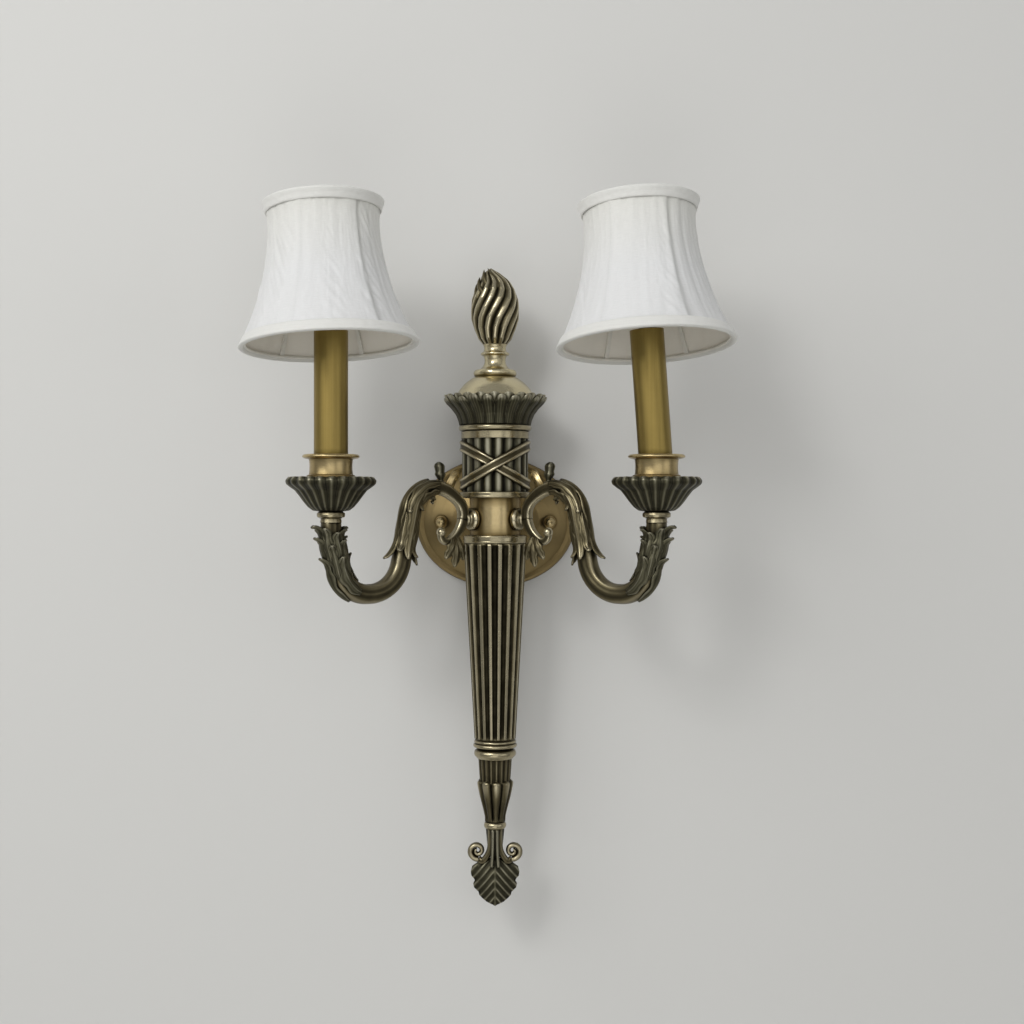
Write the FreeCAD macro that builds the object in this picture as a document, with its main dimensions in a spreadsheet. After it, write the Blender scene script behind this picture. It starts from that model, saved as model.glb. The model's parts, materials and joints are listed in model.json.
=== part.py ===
import FreeCAD, Part
import math
import os
import Sketcher
from FreeCAD import Placement, Rotation, Vector

# Double arm wall sconce, millimetres. +Z is up, +X to the viewer's right, the front
# faces -Y. The wall is the plane Y = 0 and the origin is the centre of the back plate.

os.makedirs("parts", exist_ok=True)
doc = FreeCAD.newDocument("double_arm_wall_sconce")

X_AXIS = Vector(1, 0, 0)
Y_AXIS = Vector(0, 1, 0)
Z_AXIS = Vector(0, 0, 1)
ORIGIN = Vector(0, 0, 0)

# Driving dimensions in millimetres, angles in degrees, counts as they are.
SIZES = {
    # Back plate and what fastens it
    "plate_width": 127.0,
    "plate_tall": 103.0,
    "plate_depth": 22.0,
    "plate_wall": 1.8,
    "plate_seat_radius": 6.0,
    "plate_seat_depth": 15.0,
    "stud_spacing": 86.0,
    "stud_radius": 2.0,
    "ball_nut_radius": 4.6,
    "bar_length": 104.0,
    "bar_width": 19.0,
    "bar_gauge": 2.4,
    "box_screw_spacing": 70.0,
    "box_slot_length": 11.0,
    "box_slot_radius": 2.4,
    "bar_nut_radius": 3.6,
    "bar_nut_height": 2.4,
    # Column, from the hub up and down
    "column_reach": 50.0,
    "hub_middle": 4.5,
    "hub_radius": 19.5,
    "hub_height": 28.4,
    "hub_wall": 4.0,
    "hub_floor": 4.0,
    "lid_radius": 27.3,
    "lid_height": 4.6,
    "lid_spigot": 3.0,
    "block_radius": 25.2,
    "block_height": 40.8,
    "block_bore_radius": 16.0,
    "block_reeds": 18,
    "reed_gap_radius": 1.9,
    "ribbon_radius": 26.4,
    "ribbon_width": 7.0,
    "ribbon_slope": 29.5,
    "ring_radius": 27.1,
    "ring_height": 10.4,
    "crown_radius": 39.6,
    "crown_root_radius": 26.8,
    "crown_height": 22.5,
    "crown_ledge": 20.5,
    "crown_floor": 4.0,
    "crown_leaves": 22,
    "dome_radius": 31.0,
    "dome_height": 16.8,
    "stem_radius": 15.3,
    "stem_height": 24.8,
    "flame_radius": 18.8,
    "flame_foot_radius": 9.4,
    "flame_height": 58.5,
    "flame_lobes": 14,
    "flame_groove": 1.7,
    "flame_tip_lean": 2.3,
    "flame_twist": 52.0,
    "flame_spigot": 6.0,
    "collar_radius": 24.4,
    "collar_height": 6.2,
    "shaft_top_radius": 24.2,
    "shaft_end_radius": 15.8,
    "shaft_height": 149.9,
    "shaft_flutes": 18,
    "flute_top_radius": 2.7,
    "flute_end_radius": 1.75,
    "shaft_bore_radius": 9.0,
    "double_ring_radius": 16.1,
    "double_ring_height": 15.1,
    "cup_neck_radius": 12.8,
    "cup_neck_height": 16.5,
    "gadroon_radius": 13.9,
    "gadroon_end_radius": 8.1,
    "gadroon_height": 31.9,
    "gadroons": 9,
    "gadroon_groove": 1.5,
    "bead_radius": 7.6,
    "bead_height": 6.1,
    "leaf_stem_radius": 6.6,
    "leaf_length": 62.7,
    "leaf_half_width": 18.9,
    "leaf_depth": 11.0,
    "scroll_radius": 6.4,
    "scroll_offset": 14.2,
    "scroll_drop": 16.2,
    # Rods, nipples, nuts and their fits
    "rod_radius": 3.0,
    "rod_slack": 0.25,
    "rod_thread": 10.0,
    "nut_radius": 5.6,
    "nut_height": 3.4,
    "hub_nipple_radius": 5.0,
    "hub_nipple_bore": 3.7,
    "hub_neck_radius": 11.0,
    "washer_radius": 9.5,
    "washer_gauge": 1.2,
    "seat_slack": 0.05,
    # Arms
    "arm_level": 2.5,
    "arm_splay": 35.0,
    "arm_reach": 142.0,
    "arm_tail_radius": 4.0,
    "arm_tail_end": 10.0,
    "arm_nut_radius": 6.4,
    "arm_boss_radius": 8.6,
    "arm_boss_end": 26.0,
    "arm_bore_radius": 2.3,
    "scroll_band_radius": 3.9,
    "arm_shoulder_radius": 6.6,
    "arm_bend_radius": 7.3,
    "arm_neck_radius": 5.6,
    "scroll_start": 29.7,
    "scroll_heading": 102.0,
    "scroll_top_radius": 15.3,
    "scroll_top_turn": 58.0,
    "scroll_back_radius": 41.0,
    "scroll_back_turn": 19.0,
    "shoulder_radius": 22.0,
    "shoulder_drop": 78.0,
    "bend_ratio": 1.16,
    "bend_rise": 74.5,
    "bend_flat": 2.0,
    "arm_leg": 16.5,
    "arm_rise_radius": 60.0,
    "arm_top": 3.0,
    "volute_radius": 19.0,
    "volute_turn": 62.0,
    "volute_end_radius": 6.2,
    "volute_end_turn": 175.0,
    "volute_band_radius": 2.7,
    "arm_leaf_reach": 8.5,
    "arm_leaf_rise": 19.0,
    "arm_leaf_width": 9.0,
    "arm_leaves": 6,
    "bud_radius": 4.0,
    "bud_height": 14.0,
    # Candle ends
    "candle_base": 0.5,
    "candle_tail_radius": 5.0,
    "candle_tail_bore": 3.3,
    "candle_tail_length": 41.5,
    "pan_collar_radius": 10.2,
    "pan_collar_height": 9.0,
    "pan_radius": 31.3,
    "pan_height": 23.0,
    "pan_ledge": 21.5,
    "pan_wall": 2.0,
    "pan_leaves": 16,
    "cup_flange_radius": 24.6,
    "cup_flange_gauge": 2.0,
    "cup_body_radius": 15.7,
    "cup_lip_radius": 20.0,
    "cup_height": 18.0,
    "cup_bore_radius": 14.2,
    "cup_floor": 4.5,
    "cup_nut_radius": 7.5,
    "sleeve_radius": 12.2,
    "sleeve_wall": 0.8,
    "sleeve_length": 102.0,
    "stem_tube_radius": 4.0,
    "stem_tube_bore": 2.4,
    "stem_tube_length": 46.0,
    "socket_radius": 8.4,
    "socket_length": 50.0,
    "socket_bore_radius": 6.9,
    "screw_shell_radius": 6.3,
    "socket_bore_depth": 24.0,
    "socket_contact_height": 1.5,
    "socket_well": 15.6,
    "sleeve_lift": 0.1,
    "stem_gap": 0.3,
    "left_candle_lean": 0.0,
    "right_candle_lean": 4.0,
    "left_bulb_lean": 1.7,
    "right_bulb_lean": 4.0,
    "wire_radius": 1.1,
    "wire_offset": 1.5,
    "wire_join_turn": 20.0,
    "wire_hub_bend": 8.0,
    # Bulbs
    "bulb_cap_radius": 5.8,
    "bulb_cap_length": 20.0,
    "bulb_radius": 16.8,
    "bulb_length": 72.0,
    "bulb_belly": 27.0,
    "bulb_wall": 0.9,
    "bulb_contact_radius": 2.4,
    "bulb_contact_height": 2.2,
    "bulb_gap": 0.2,
    # Clips and shades
    "clip_slack": 0.3,
    "clip_wire_radius": 0.8,
    "clip_spread": 26.0,
    "clip_grip_height": 22.0,
    "clip_hub_radius": 4.6,
    "clip_hub_height": 2.6,
    "knuckle_height": 11.6,
    "knuckle_radius": 3.4,
    "knuckle_width": 2.4,
    "pin_radius": 1.2,
    "pin_slack": 0.08,
    "side_slack": 0.3,
    "clevis_gauge": 1.6,
    "shade_base_radius": 63.0,
    "shade_waist_radius": 39.6,
    "shade_waist_share": 0.85,
    "shade_flare": 1.88,
    "shade_top_radius": 42.6,
    "shade_height": 102.6,
    "left_shade_lean": 3.0,
    "right_shade_lean": 2.6,
    "left_shade_nod": 4.0,
    "right_shade_nod": 6.0,
    "shade_fabric": 1.0,
    "trim_width": 7.0,
    "trim_gauge": 0.8,
    "skin_gap": 0.05,
    "frame_wire_radius": 1.1,
    "frame_ribs": 6,
    "rib_depth": 2.0,
    "spoke_spread": 28.0,
    "left_seam_angle": 43.0,
    "right_seam_angle": 25.0,
    "knuckle_below_top": 6.6,
}

sheet = doc.addObject("Spreadsheet::Sheet", "Sizes")
for row, (alias, number) in enumerate(SIZES.items(), start=1):
    sheet.set(f"A{row}", alias.replace("_", " "))
    sheet.set(f"B{row}", str(number))
    sheet.setAlias(f"B{row}", alias)
doc.recompute()


class Size:
    """A length with the expression that keeps it bound to the sheet."""

    def __init__(self, value, text):
        self.value = value
        self.text = text

    def __add__(self, other):
        other = as_size(other)
        return Size(self.value + other.value, f"({self.text} + {other.text})")

    def __sub__(self, other):
        other = as_size(other)
        return Size(self.value - other.value, f"({self.text} - {other.text})")

    def __mul__(self, other):
        other = as_size(other)
        return Size(self.value * other.value, f"({self.text} * {other.text})")

    def __truediv__(self, other):
        other = as_size(other)
        return Size(self.value / other.value, f"({self.text} / {other.text})")

    def __neg__(self):
        return Size(-self.value, f"(0 - {self.text})")

    def __float__(self):
        return float(self.value)


def as_size(item):
    if isinstance(item, Size):
        return item
    return Size(float(item), f"({float(item):.5f})")


class Sheet:
    """Reads a cell of the sheet by its alias, as a Size."""

    def __getattr__(self, alias):
        return Size(float(sheet.get(alias)), f"Sizes.{alias}")


S = Sheet()
NODES = []
SIDES = ((-1, "left"), (1, "right"))


# Sketches, bodies and placements

def new_body(label):
    body = doc.addObject("PartDesign::Body", label)
    body.Label = label
    NODES.append(body)
    return body


def role_plane(body, role):
    return [item for item in body.Origin.OriginFeatures if item.Role == role][0]


def new_sketch(body, name, role="XZ_Plane", offset=None):
    sketch = body.newObject("Sketcher::SketchObject", name)
    sketch.AttachmentSupport = [(role_plane(body, role), "")]
    sketch.MapMode = "FlatFace"
    if offset is not None:
        sketch.setExpression("AttachmentOffset.Base.z", offset.text)
    return sketch


def bind(sketch, kind, *args):
    """Adds a dimension whose last argument is a Size and binds it to the sheet."""
    *where, size = args
    size = as_size(size)
    index = sketch.addConstraint(Sketcher.Constraint(kind, *where, size.value))
    sketch.setExpression(f"Constraints[{index}]", size.text)


def pin_point(sketch, edge, end, across, up):
    """Holds a sketch point at its distances from the sketch's origin."""
    if abs(across.value) < 1e-9:
        sketch.addConstraint(Sketcher.Constraint("PointOnObject", edge, end, -2))
    else:
        bind(sketch, "DistanceX", -1, 1, edge, end, across)
    if abs(up.value) < 1e-9:
        sketch.addConstraint(Sketcher.Constraint("PointOnObject", edge, end, -1))
    else:
        bind(sketch, "DistanceY", -1, 1, edge, end, up)


def arc_centre(start, end, bulge):
    """The centre of an arc whose middle stands off its chord by bulge chord lengths."""
    back = (0.25 - bulge * bulge) / (2 * bulge)
    across = (start[0] + end[0]) * 0.5 + (end[1] - start[1]) * back
    up = (start[1] + end[1]) * 0.5 - (end[0] - start[0]) * back
    return across, up


def closed_profile(sketch, corners):
    """Draws a closed outline, counterclockwise. A corner is (across, up), or (across, up,
    bulge) where the edge to the next corner is an arc whose middle stands off the chord, to
    the left, by that share of the chord's length."""
    corners = [(as_size(c[0]), as_size(c[1])) + tuple(c[2:]) for c in corners]
    count = len(corners)
    first_edge = sketch.GeometryCount
    ends = []
    for i, corner in enumerate(corners):
        nxt = corners[(i + 1) % count]
        start = Vector(corner[0].value, corner[1].value, 0)
        end = Vector(nxt[0].value, nxt[1].value, 0)
        if len(corner) < 3:
            sketch.addGeometry(Part.LineSegment(start, end), False)
            ends.append((1, 2))
            continue
        across, up = arc_centre(corner, nxt, corner[2])
        centre = Vector(across.value, up.value, 0)
        round_edge = Part.Circle(centre, Z_AXIS, centre.distanceToPoint(start))
        low, high = [math.atan2(spot.y - centre.y, spot.x - centre.x) for spot in (start, end)]
        if corner[2] > 0:
            low, high = high, low
        ends.append((1, 2) if corner[2] < 0 else (2, 1))
        if high < low:
            high += 2 * math.pi
        sketch.addGeometry(Part.ArcOfCircle(round_edge, low, high), False)
    for i in range(count):
        nxt = (i + 1) % count
        sketch.addConstraint(Sketcher.Constraint(
            "Coincident", first_edge + i, ends[i][1], first_edge + nxt, ends[nxt][0]))
        pin_point(sketch, first_edge + i, ends[i][0], corners[i][0], corners[i][1])
    for i, corner in enumerate(corners):
        if len(corner) < 3:
            continue
        nxt = corners[(i + 1) % count]
        across, up = arc_centre(corner, nxt, corner[2])
        chord_x = abs(nxt[0].value - corner[0].value)
        chord_y = abs(nxt[1].value - corner[1].value)
        if chord_x > chord_y:
            bind(sketch, "DistanceY", -1, 1, first_edge + i, 3, up)
        else:
            bind(sketch, "DistanceX", -1, 1, first_edge + i, 3, across)


def turned(label, corners, base=None, side=0, place=None):
    """A piece turned about Z from its half outline. It stands at height base on the column,
    or on the left or right candle's axis, or lies at a Placement."""
    body = new_body(label)
    sketch = new_sketch(body, f"{label}_profile")
    closed_profile(sketch, corners)
    turn = body.newObject("PartDesign::Revolution", f"{label}_turned")
    turn.Profile = sketch
    turn.ReferenceAxis = (sketch, ["V_Axis"])
    turn.Angle = 360
    if base is not None:
        across = "Sizes.arm_reach * cos(Sizes.arm_splay * 1 deg)"
        forward = "Sizes.column_reach + Sizes.arm_reach * sin(Sizes.arm_splay * 1 deg)"
        if side:
            body.setExpression("Placement.Base.x", f"{side} * {across}")
        body.setExpression("Placement.Base.y", f"-({forward})" if side else "-Sizes.column_reach")
        body.setExpression("Placement.Base.z", base.text)
    if place is not None:
        body.Placement = place
    doc.recompute()
    return body


def circle_sketch(body, name, radius, across=0.0, up=0.0, role="XY_Plane", offset=None):
    sketch = new_sketch(body, name, role, offset)
    across, up, radius = as_size(across), as_size(up), as_size(radius)
    centre = Vector(across.value, up.value, 0)
    edge = sketch.addGeometry(Part.Circle(centre, Z_AXIS, radius.value), False)
    bind(sketch, "Radius", edge, radius)
    pin_point(sketch, edge, 3, across, up)
    return sketch


def patterned(body, feature, count, name):
    doc.recompute()
    before = body.Shape.Volume
    pattern = body.newObject("PartDesign::PolarPattern", name)
    pattern.Originals = [feature]
    pattern.Axis = (role_plane_axis(body, "Z_Axis"), [""])
    pattern.Angle = 360
    pattern.setExpression("Occurrences", count.text)
    body.Tip = pattern
    doc.recompute()
    if abs(body.Shape.Volume - before) < 1e-3:
        raise RuntimeError(f"{name} changed nothing")
    return pattern


def role_plane_axis(body, role):
    return [item for item in body.Origin.OriginFeatures if item.Role == role][0]


def pair_node(label, shape, places):
    """One node that holds a copy of the shape at each place, as separate solids."""
    solid_node(label, Part.makeCompound([turned_at(place, shape) for place in places]))


def solid_node(label, shape, place=None):
    """A piece whose shape is worked out from the sheet in code."""
    if shape.ShapeType == "Compound" and len(shape.Solids) == 1:
        shape = shape.Solids[0]
    node = doc.addObject("Part::Feature", label)
    node.Label = label
    node.Shape = shape
    if place is not None:
        node.Placement = place
    NODES.append(node)
    return node


# Shapes worked out by code

def ring_wire(points):
    curve = Part.BSplineCurve()
    curve.interpolate(Points=points, PeriodicFlag=True)
    return Part.Wire([curve.toShape()])


def lobed_wire(radius, height, lobes, depth, twist=0.0, shift=0.0):
    """A round section with lobes, its crests at radius and its valleys depth inside."""
    points = []
    steps = int(lobes) * 4
    for i in range(steps):
        angle = 2 * math.pi * i / steps
        crest = abs(math.cos(0.5 * int(lobes) * angle))
        reach = radius - depth * (1 - crest)
        spot = angle + math.radians(twist)
        points.append(Vector(reach * math.cos(spot) + shift, reach * math.sin(spot), height))
    return ring_wire(points)


def circle_wire(radius, centre, direction):
    return Part.Wire([Part.makeCircle(radius, centre, direction)])


def tube_solid(outer, inner, height, base=0.0):
    solid = Part.makeCylinder(outer, height, Vector(0, 0, base))
    return solid.cut(Part.makeCylinder(inner, height, Vector(0, 0, base)))


def spun(points):
    """A solid turned about Z from (radius, height) points joined by straight lines."""
    wire = Part.makePolygon([Vector(r, 0, z) for r, z in points + points[:1]])
    return Part.Face(wire).revolve(ORIGIN, Z_AXIS, 360)


def turned_at(place, shape):
    moved = shape.copy()
    moved.Placement = place.multiply(moved.Placement)
    return moved


class Path:
    """A flat route of lines and tangent arcs in the XZ plane, walked from a start."""

    def __init__(self, across, up, heading):
        self.spot = Vector(across, 0, up)
        self.heading = heading
        self.edges = []
        self.centres = []
        self.stations = [(self.spot, heading)]

    def aim(self, heading=None):
        angle = math.radians(self.heading if heading is None else heading)
        return Vector(math.cos(angle), 0, math.sin(angle))

    def line(self, length):
        end = self.spot + self.aim() * length
        self.edges.append(Part.makeLine(self.spot, end))
        self.centres.append(None)
        self.spot = end
        self.stations.append((end, self.heading))
        return self

    def arc(self, radius, turn):
        side = 1 if turn > 0 else -1
        centre = self.spot + self.aim(self.heading + 90 * side) * radius
        outward = self.heading - 90 * side
        middle = centre + self.aim(outward + turn / 2) * radius
        end = centre + self.aim(outward + turn) * radius
        self.edges.append(Part.Arc(self.spot, middle, end).toShape())
        self.centres.append(centre)
        self.spot = end
        self.heading += turn
        self.stations.append((end, self.heading))
        return self


def even_bar(path, i, radius):
    """A bar of one radius along one line or arc of a path."""
    (spot, heading), (end, end_heading) = path.stations[i:i + 2]
    disc = Part.Face(circle_wire(radius, spot, path.aim(heading)))
    if path.centres[i] is None:
        return disc.extrude(end - spot)
    turn = end_heading - heading
    axis = -Y_AXIS if turn > 0 else Y_AXIS
    return disc.revolve(path.centres[i], axis, abs(turn))


def swept(path, radii, first=0, last=None):
    """A round bar along part of a path, its radius set at each of the stations."""
    last = len(path.edges) if last is None else last
    pieces = []
    for i in range(first, last):
        start, end = radii[i - first], radii[i - first + 1]
        if start == end:
            pieces.append(even_bar(path, i, start))
            continue
        spine = Part.Wire([path.edges[i]])
        shell = Part.BRepOffsetAPI.MakePipeShell(spine)
        shell.setBiNormalMode(Y_AXIS)
        for (spot, heading), radius in zip(path.stations[i:i + 2], (start, end)):
            shell.add(circle_wire(radius, spot, path.aim(heading)), False, False)
        shell.build()
        shell.makeSolid()
        pieces.append(shell.shape())
    return pieces


def joined(pieces):
    solid = pieces[0]
    if len(pieces) > 1:
        solid = pieces[0].multiFuse(pieces[1:])
    solid = solid.removeSplitter()
    return solid.Solids[0] if len(solid.Solids) == 1 else solid


def petal(reach, rise, width, gauge, tip=0.25):
    """A leaf blade that leaves the origin upwards and curls out along +X."""
    sections = []
    for share, wide in ((0.0, 0.8), (0.4, 1.0), (0.75, 0.75), (1.0, tip)):
        angle = math.radians(90 * share)
        spot = Vector(reach * (1 - math.cos(angle)), 0, rise * math.sin(angle))
        lean = Vector(reach * math.sin(angle) + 1e-6, 0, rise * math.cos(angle) + 0.15 * rise)
        lean.normalize()
        across = Y_AXIS * width * wide / 2
        normal = Vector(lean.z, 0, -lean.x) * gauge * (1.15 - 0.4 * share) / 2
        turns = [math.radians(45 * i) for i in range(8)]
        sections.append(ring_wire([spot + across * math.cos(turn) + normal * math.sin(turn)
                                   for turn in turns]))
    return Part.makeLoft(sections, True, False)


def around_z(shape, count, start=0.0):
    copies = []
    for i in range(int(count)):
        turn = Placement(ORIGIN, Rotation(Z_AXIS, start + 360.0 * i / int(count)))
        copies.append(turned_at(turn, shape))
    return copies


# Heights along the column

HUB_TOP = S.hub_middle + S.hub_height * 0.5
HUB_BASE = S.hub_middle - S.hub_height * 0.5
BLOCK_BASE = HUB_TOP + S.lid_height
RINGS_BASE = BLOCK_BASE + S.block_height
CROWN_BASE = RINGS_BASE + S.ring_height
DOME_BASE = CROWN_BASE + S.crown_ledge
STEM_BASE = DOME_BASE + S.dome_height
FLAME_BASE = STEM_BASE + S.stem_height
COLLAR_BASE = HUB_BASE - S.collar_height
SHAFT_BASE = COLLAR_BASE - S.shaft_height
DOUBLE_RING_BASE = SHAFT_BASE - S.double_ring_height
CUP_BASE = DOUBLE_RING_BASE - S.cup_neck_height - S.gadroon_height
BEAD_BASE = CUP_BASE - S.bead_height
ROD_HOLE = S.rod_radius + S.rod_slack


# Column pieces

def make_hub():
    inner = S.hub_radius - S.hub_wall
    ceiling = S.hub_height
    body = turned("hub_body", [
        (S.rod_radius, 0), (S.hub_radius, 0), (S.hub_radius, ceiling),
        (inner, ceiling), (inner, S.hub_floor), (S.rod_radius, S.hub_floor)], HUB_BASE)
    level = S.arm_level - HUB_BASE
    for side, name in SIDES:
        hole = circle_sketch(body, f"{name}_arm_hole", S.arm_tail_radius, 0.0, level, "YZ_Plane")
        turn = 90 * (1 - side) - side * float(S.arm_splay)
        hole.AttachmentOffset = Placement(ORIGIN, Rotation(Y_AXIS, turn))
        pocket = body.newObject("PartDesign::Pocket", f"{name}_arm_bore")
        pocket.Profile = hole
        pocket.setExpression("Length", (S.hub_radius + S.hub_wall).text)
        pocket.Reversed = True
        body.Tip = pocket
        cut_check(body, pocket)
    hole = circle_sketch(body, "wire_hole", S.hub_nipple_radius, 0.0, level, "XZ_Plane")
    pocket = body.newObject("PartDesign::Pocket", "wire_bore")
    pocket.Profile = hole
    pocket.setExpression("Length", (S.hub_radius + S.hub_wall).text)
    body.Tip = pocket
    cut_check(body, pocket)


def cut_check(body, feature):
    """Turns a cut round when it points away from the solid, and proves that it cuts."""
    doc.recompute()
    base = feature.BaseFeature.Shape.Volume
    if abs(feature.Shape.Volume - base) < 1e-3:
        feature.Reversed = not feature.Reversed
        doc.recompute()
    if abs(feature.Shape.Volume - base) < 1e-3:
        raise RuntimeError(f"{feature.Name} cuts nothing")


make_hub()
turned("hub_lid", [
    (S.rod_radius, -S.lid_spigot), (S.hub_radius - S.hub_wall, -S.lid_spigot),
    (S.hub_radius - S.hub_wall, 0), (S.lid_radius - 1.2, 0, -0.3),
    (S.lid_radius, S.lid_height * 0.35), (S.lid_radius, S.lid_height * 0.75, -0.3),
    (S.lid_radius - 1.2, S.lid_height), (S.rod_radius, S.lid_height)], HUB_TOP)


def make_reeded_block():
    body = turned("reeded_block", [
        (S.block_bore_radius, 0), (S.block_radius, 0),
        (S.block_radius, S.block_height), (S.block_bore_radius, S.block_height)], BLOCK_BASE)
    groove = circle_sketch(body, "reed_gap", S.reed_gap_radius, S.block_radius)
    pocket = body.newObject("PartDesign::Pocket", "reed_gap_cut")
    pocket.Profile = groove
    pocket.setExpression("Length", S.block_height.text)
    pocket.Reversed = True
    body.Tip = pocket
    cut_check(body, pocket)
    patterned(body, pocket, S.block_reeds, "reed_gaps")


def make_ribbons():
    """Two tilted hoops that cross in front of the reeds and behind them."""
    height = float(S.block_height)
    radius = float(S.ribbon_radius)
    shell = tube_solid(radius, float(S.block_radius), height)
    hoops = []
    for tilt in (-1, 1):
        slab = Part.makeBox(4 * radius, 4 * radius, float(S.ribbon_width),
                            Vector(-2 * radius, -2 * radius, -float(S.ribbon_width) / 2))
        slope = Placement(Vector(0, 0, height / 2), Rotation(Y_AXIS, tilt * float(S.ribbon_slope)))
        hoops.append(shell.common(turned_at(slope, slab)))
    base = Vector(0, -float(S.column_reach), float(BLOCK_BASE))
    solid_node("crossed_ribbons", joined(hoops), Placement(base, Rotation()))


def make_crown():
    floor = float(S.crown_floor)
    root = float(S.crown_root_radius)
    ledge = float(S.crown_ledge)
    seat = float(S.dome_radius) + 0.3
    rim = float(S.crown_height)
    spread = float(S.crown_radius) - root
    cup = spun([
        (float(ROD_HOLE), 0), (root, 0), (root + 0.02 * spread, 0.3 * rim),
        (root + 0.12 * spread, 0.55 * rim), (root + 0.36 * spread, 0.8 * rim),
        (root + 0.62 * spread, 0.93 * rim), (root + 0.62 * spread, rim), (seat, rim),
        (seat, ledge), (seat - 2.5, ledge), (root - 3.5, floor + 4), (root - 5, floor),
        (float(ROD_HOLE), floor)])
    width = 2 * math.pi * root / int(float(S.crown_leaves)) * 1.15
    leaf = petal(spread + 1.6, rim - 0.6, width, 2.8, 0.45)
    leaf.translate(Vector(root - 1.9, 0, 1.6))
    leaves = around_z(leaf, float(S.crown_leaves), 360.0 / float(S.crown_leaves) / 2)
    inside = Part.makeCylinder(seat, rim + 10, Vector(0, 0, ledge))
    crown = joined([cup] + [item.cut(inside) for item in leaves])
    base = Vector(0, -float(S.column_reach), float(CROWN_BASE))
    solid_node("leaf_crown", crown, Placement(base, Rotation()))


def make_flame():
    """A flame of twisted ridges: (share of height, share of radius, share of twist)."""
    rows = [
        (0.0, 0.50, 0.0), (0.07, 0.69, 0.0), (0.20, 0.86, 0.06), (0.33, 0.97, 0.2),
        (0.46, 1.0, 0.42), (0.59, 0.955, 0.66), (0.72, 0.82, 0.88), (0.855, 0.56, 1.0),
        (0.94, 0.32, 1.0), (1.0, 0.06, 0.96)]
    height, radius = float(S.flame_height), float(S.flame_radius)
    sections = []
    for up, wide, twist in rows:
        groove = float(S.flame_groove) * min(1.0, wide * 1.15) * (0.35 if up == 0.0 else 1.0)
        lean = -float(S.flame_tip_lean) * max(0.0, (up - 0.86) / 0.14)
        sections.append(lobed_wire(wide * radius, up * height, float(S.flame_lobes), groove,
                                   twist * float(S.flame_twist) - 90.0, lean))
    flame = Part.makeLoft(sections, True, False)
    spigot = Part.makeCylinder(float(S.rod_radius), float(S.flame_spigot) + 1,
                               Vector(0, 0, -float(S.flame_spigot)))
    base = Vector(0, -float(S.column_reach), float(FLAME_BASE))
    solid_node("flame_finial", joined([flame, spigot]), Placement(base, Rotation()))


def make_shaft():
    top, end, height = S.shaft_top_radius, S.shaft_end_radius, S.shaft_height
    body = turned("fluted_shaft", [
        (S.shaft_bore_radius, 0), (end, 0), (top, height), (S.shaft_bore_radius, height)],
        SHAFT_BASE)
    low = circle_sketch(body, "flute_end", S.flute_end_radius, 0.0, -end)
    high = circle_sketch(body, "flute_top", S.flute_top_radius, 0.0, -top, "XY_Plane", height)
    doc.recompute()
    before = body.Shape.Volume
    flute = body.newObject("PartDesign::SubtractiveLoft", "flute")
    flute.Profile = low
    flute.Sections = [high]
    body.Tip = flute
    doc.recompute()
    if before - body.Shape.Volume < 1.0:
        raise RuntimeError("the flute cuts nothing")
    patterned(body, flute, S.shaft_flutes, "flutes")


def make_gadroon_cup():
    """A short fluted neck over a tapered cup of raised gadroons."""
    neck, drop = float(S.cup_neck_height), float(S.gadroon_height)
    wide, narrow = float(S.gadroon_radius), float(S.gadroon_end_radius)
    rows = [(0.0, narrow * 0.97), (0.12, narrow), (0.35, narrow + (wide - narrow) * 0.34),
            (0.62, narrow + (wide - narrow) * 0.66), (0.85, wide * 0.985), (0.94, wide),
            (1.0, wide * 0.95)]
    count = float(S.gadroons)
    sections = [lobed_wire(radius, up * drop, count, float(S.gadroon_groove), 90.0)
                for up, radius in rows]
    cup = Part.makeLoft(sections, True, False)
    radius = float(S.cup_neck_radius)
    rows = [lobed_wire(radius, drop + up, 2 * count, 0.9, 90.0) for up in (-0.5, neck / 2, neck)]
    solid = joined([cup, Part.makeLoft(rows, True, False)])
    solid = solid.cut(Part.makeCylinder(float(ROD_HOLE), neck + drop + 2, Vector(0, 0, -1)))
    base = Vector(0, -float(S.column_reach), float(CUP_BASE))
    solid_node("gadroon_cup", solid, Placement(base, Rotation()))


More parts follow.
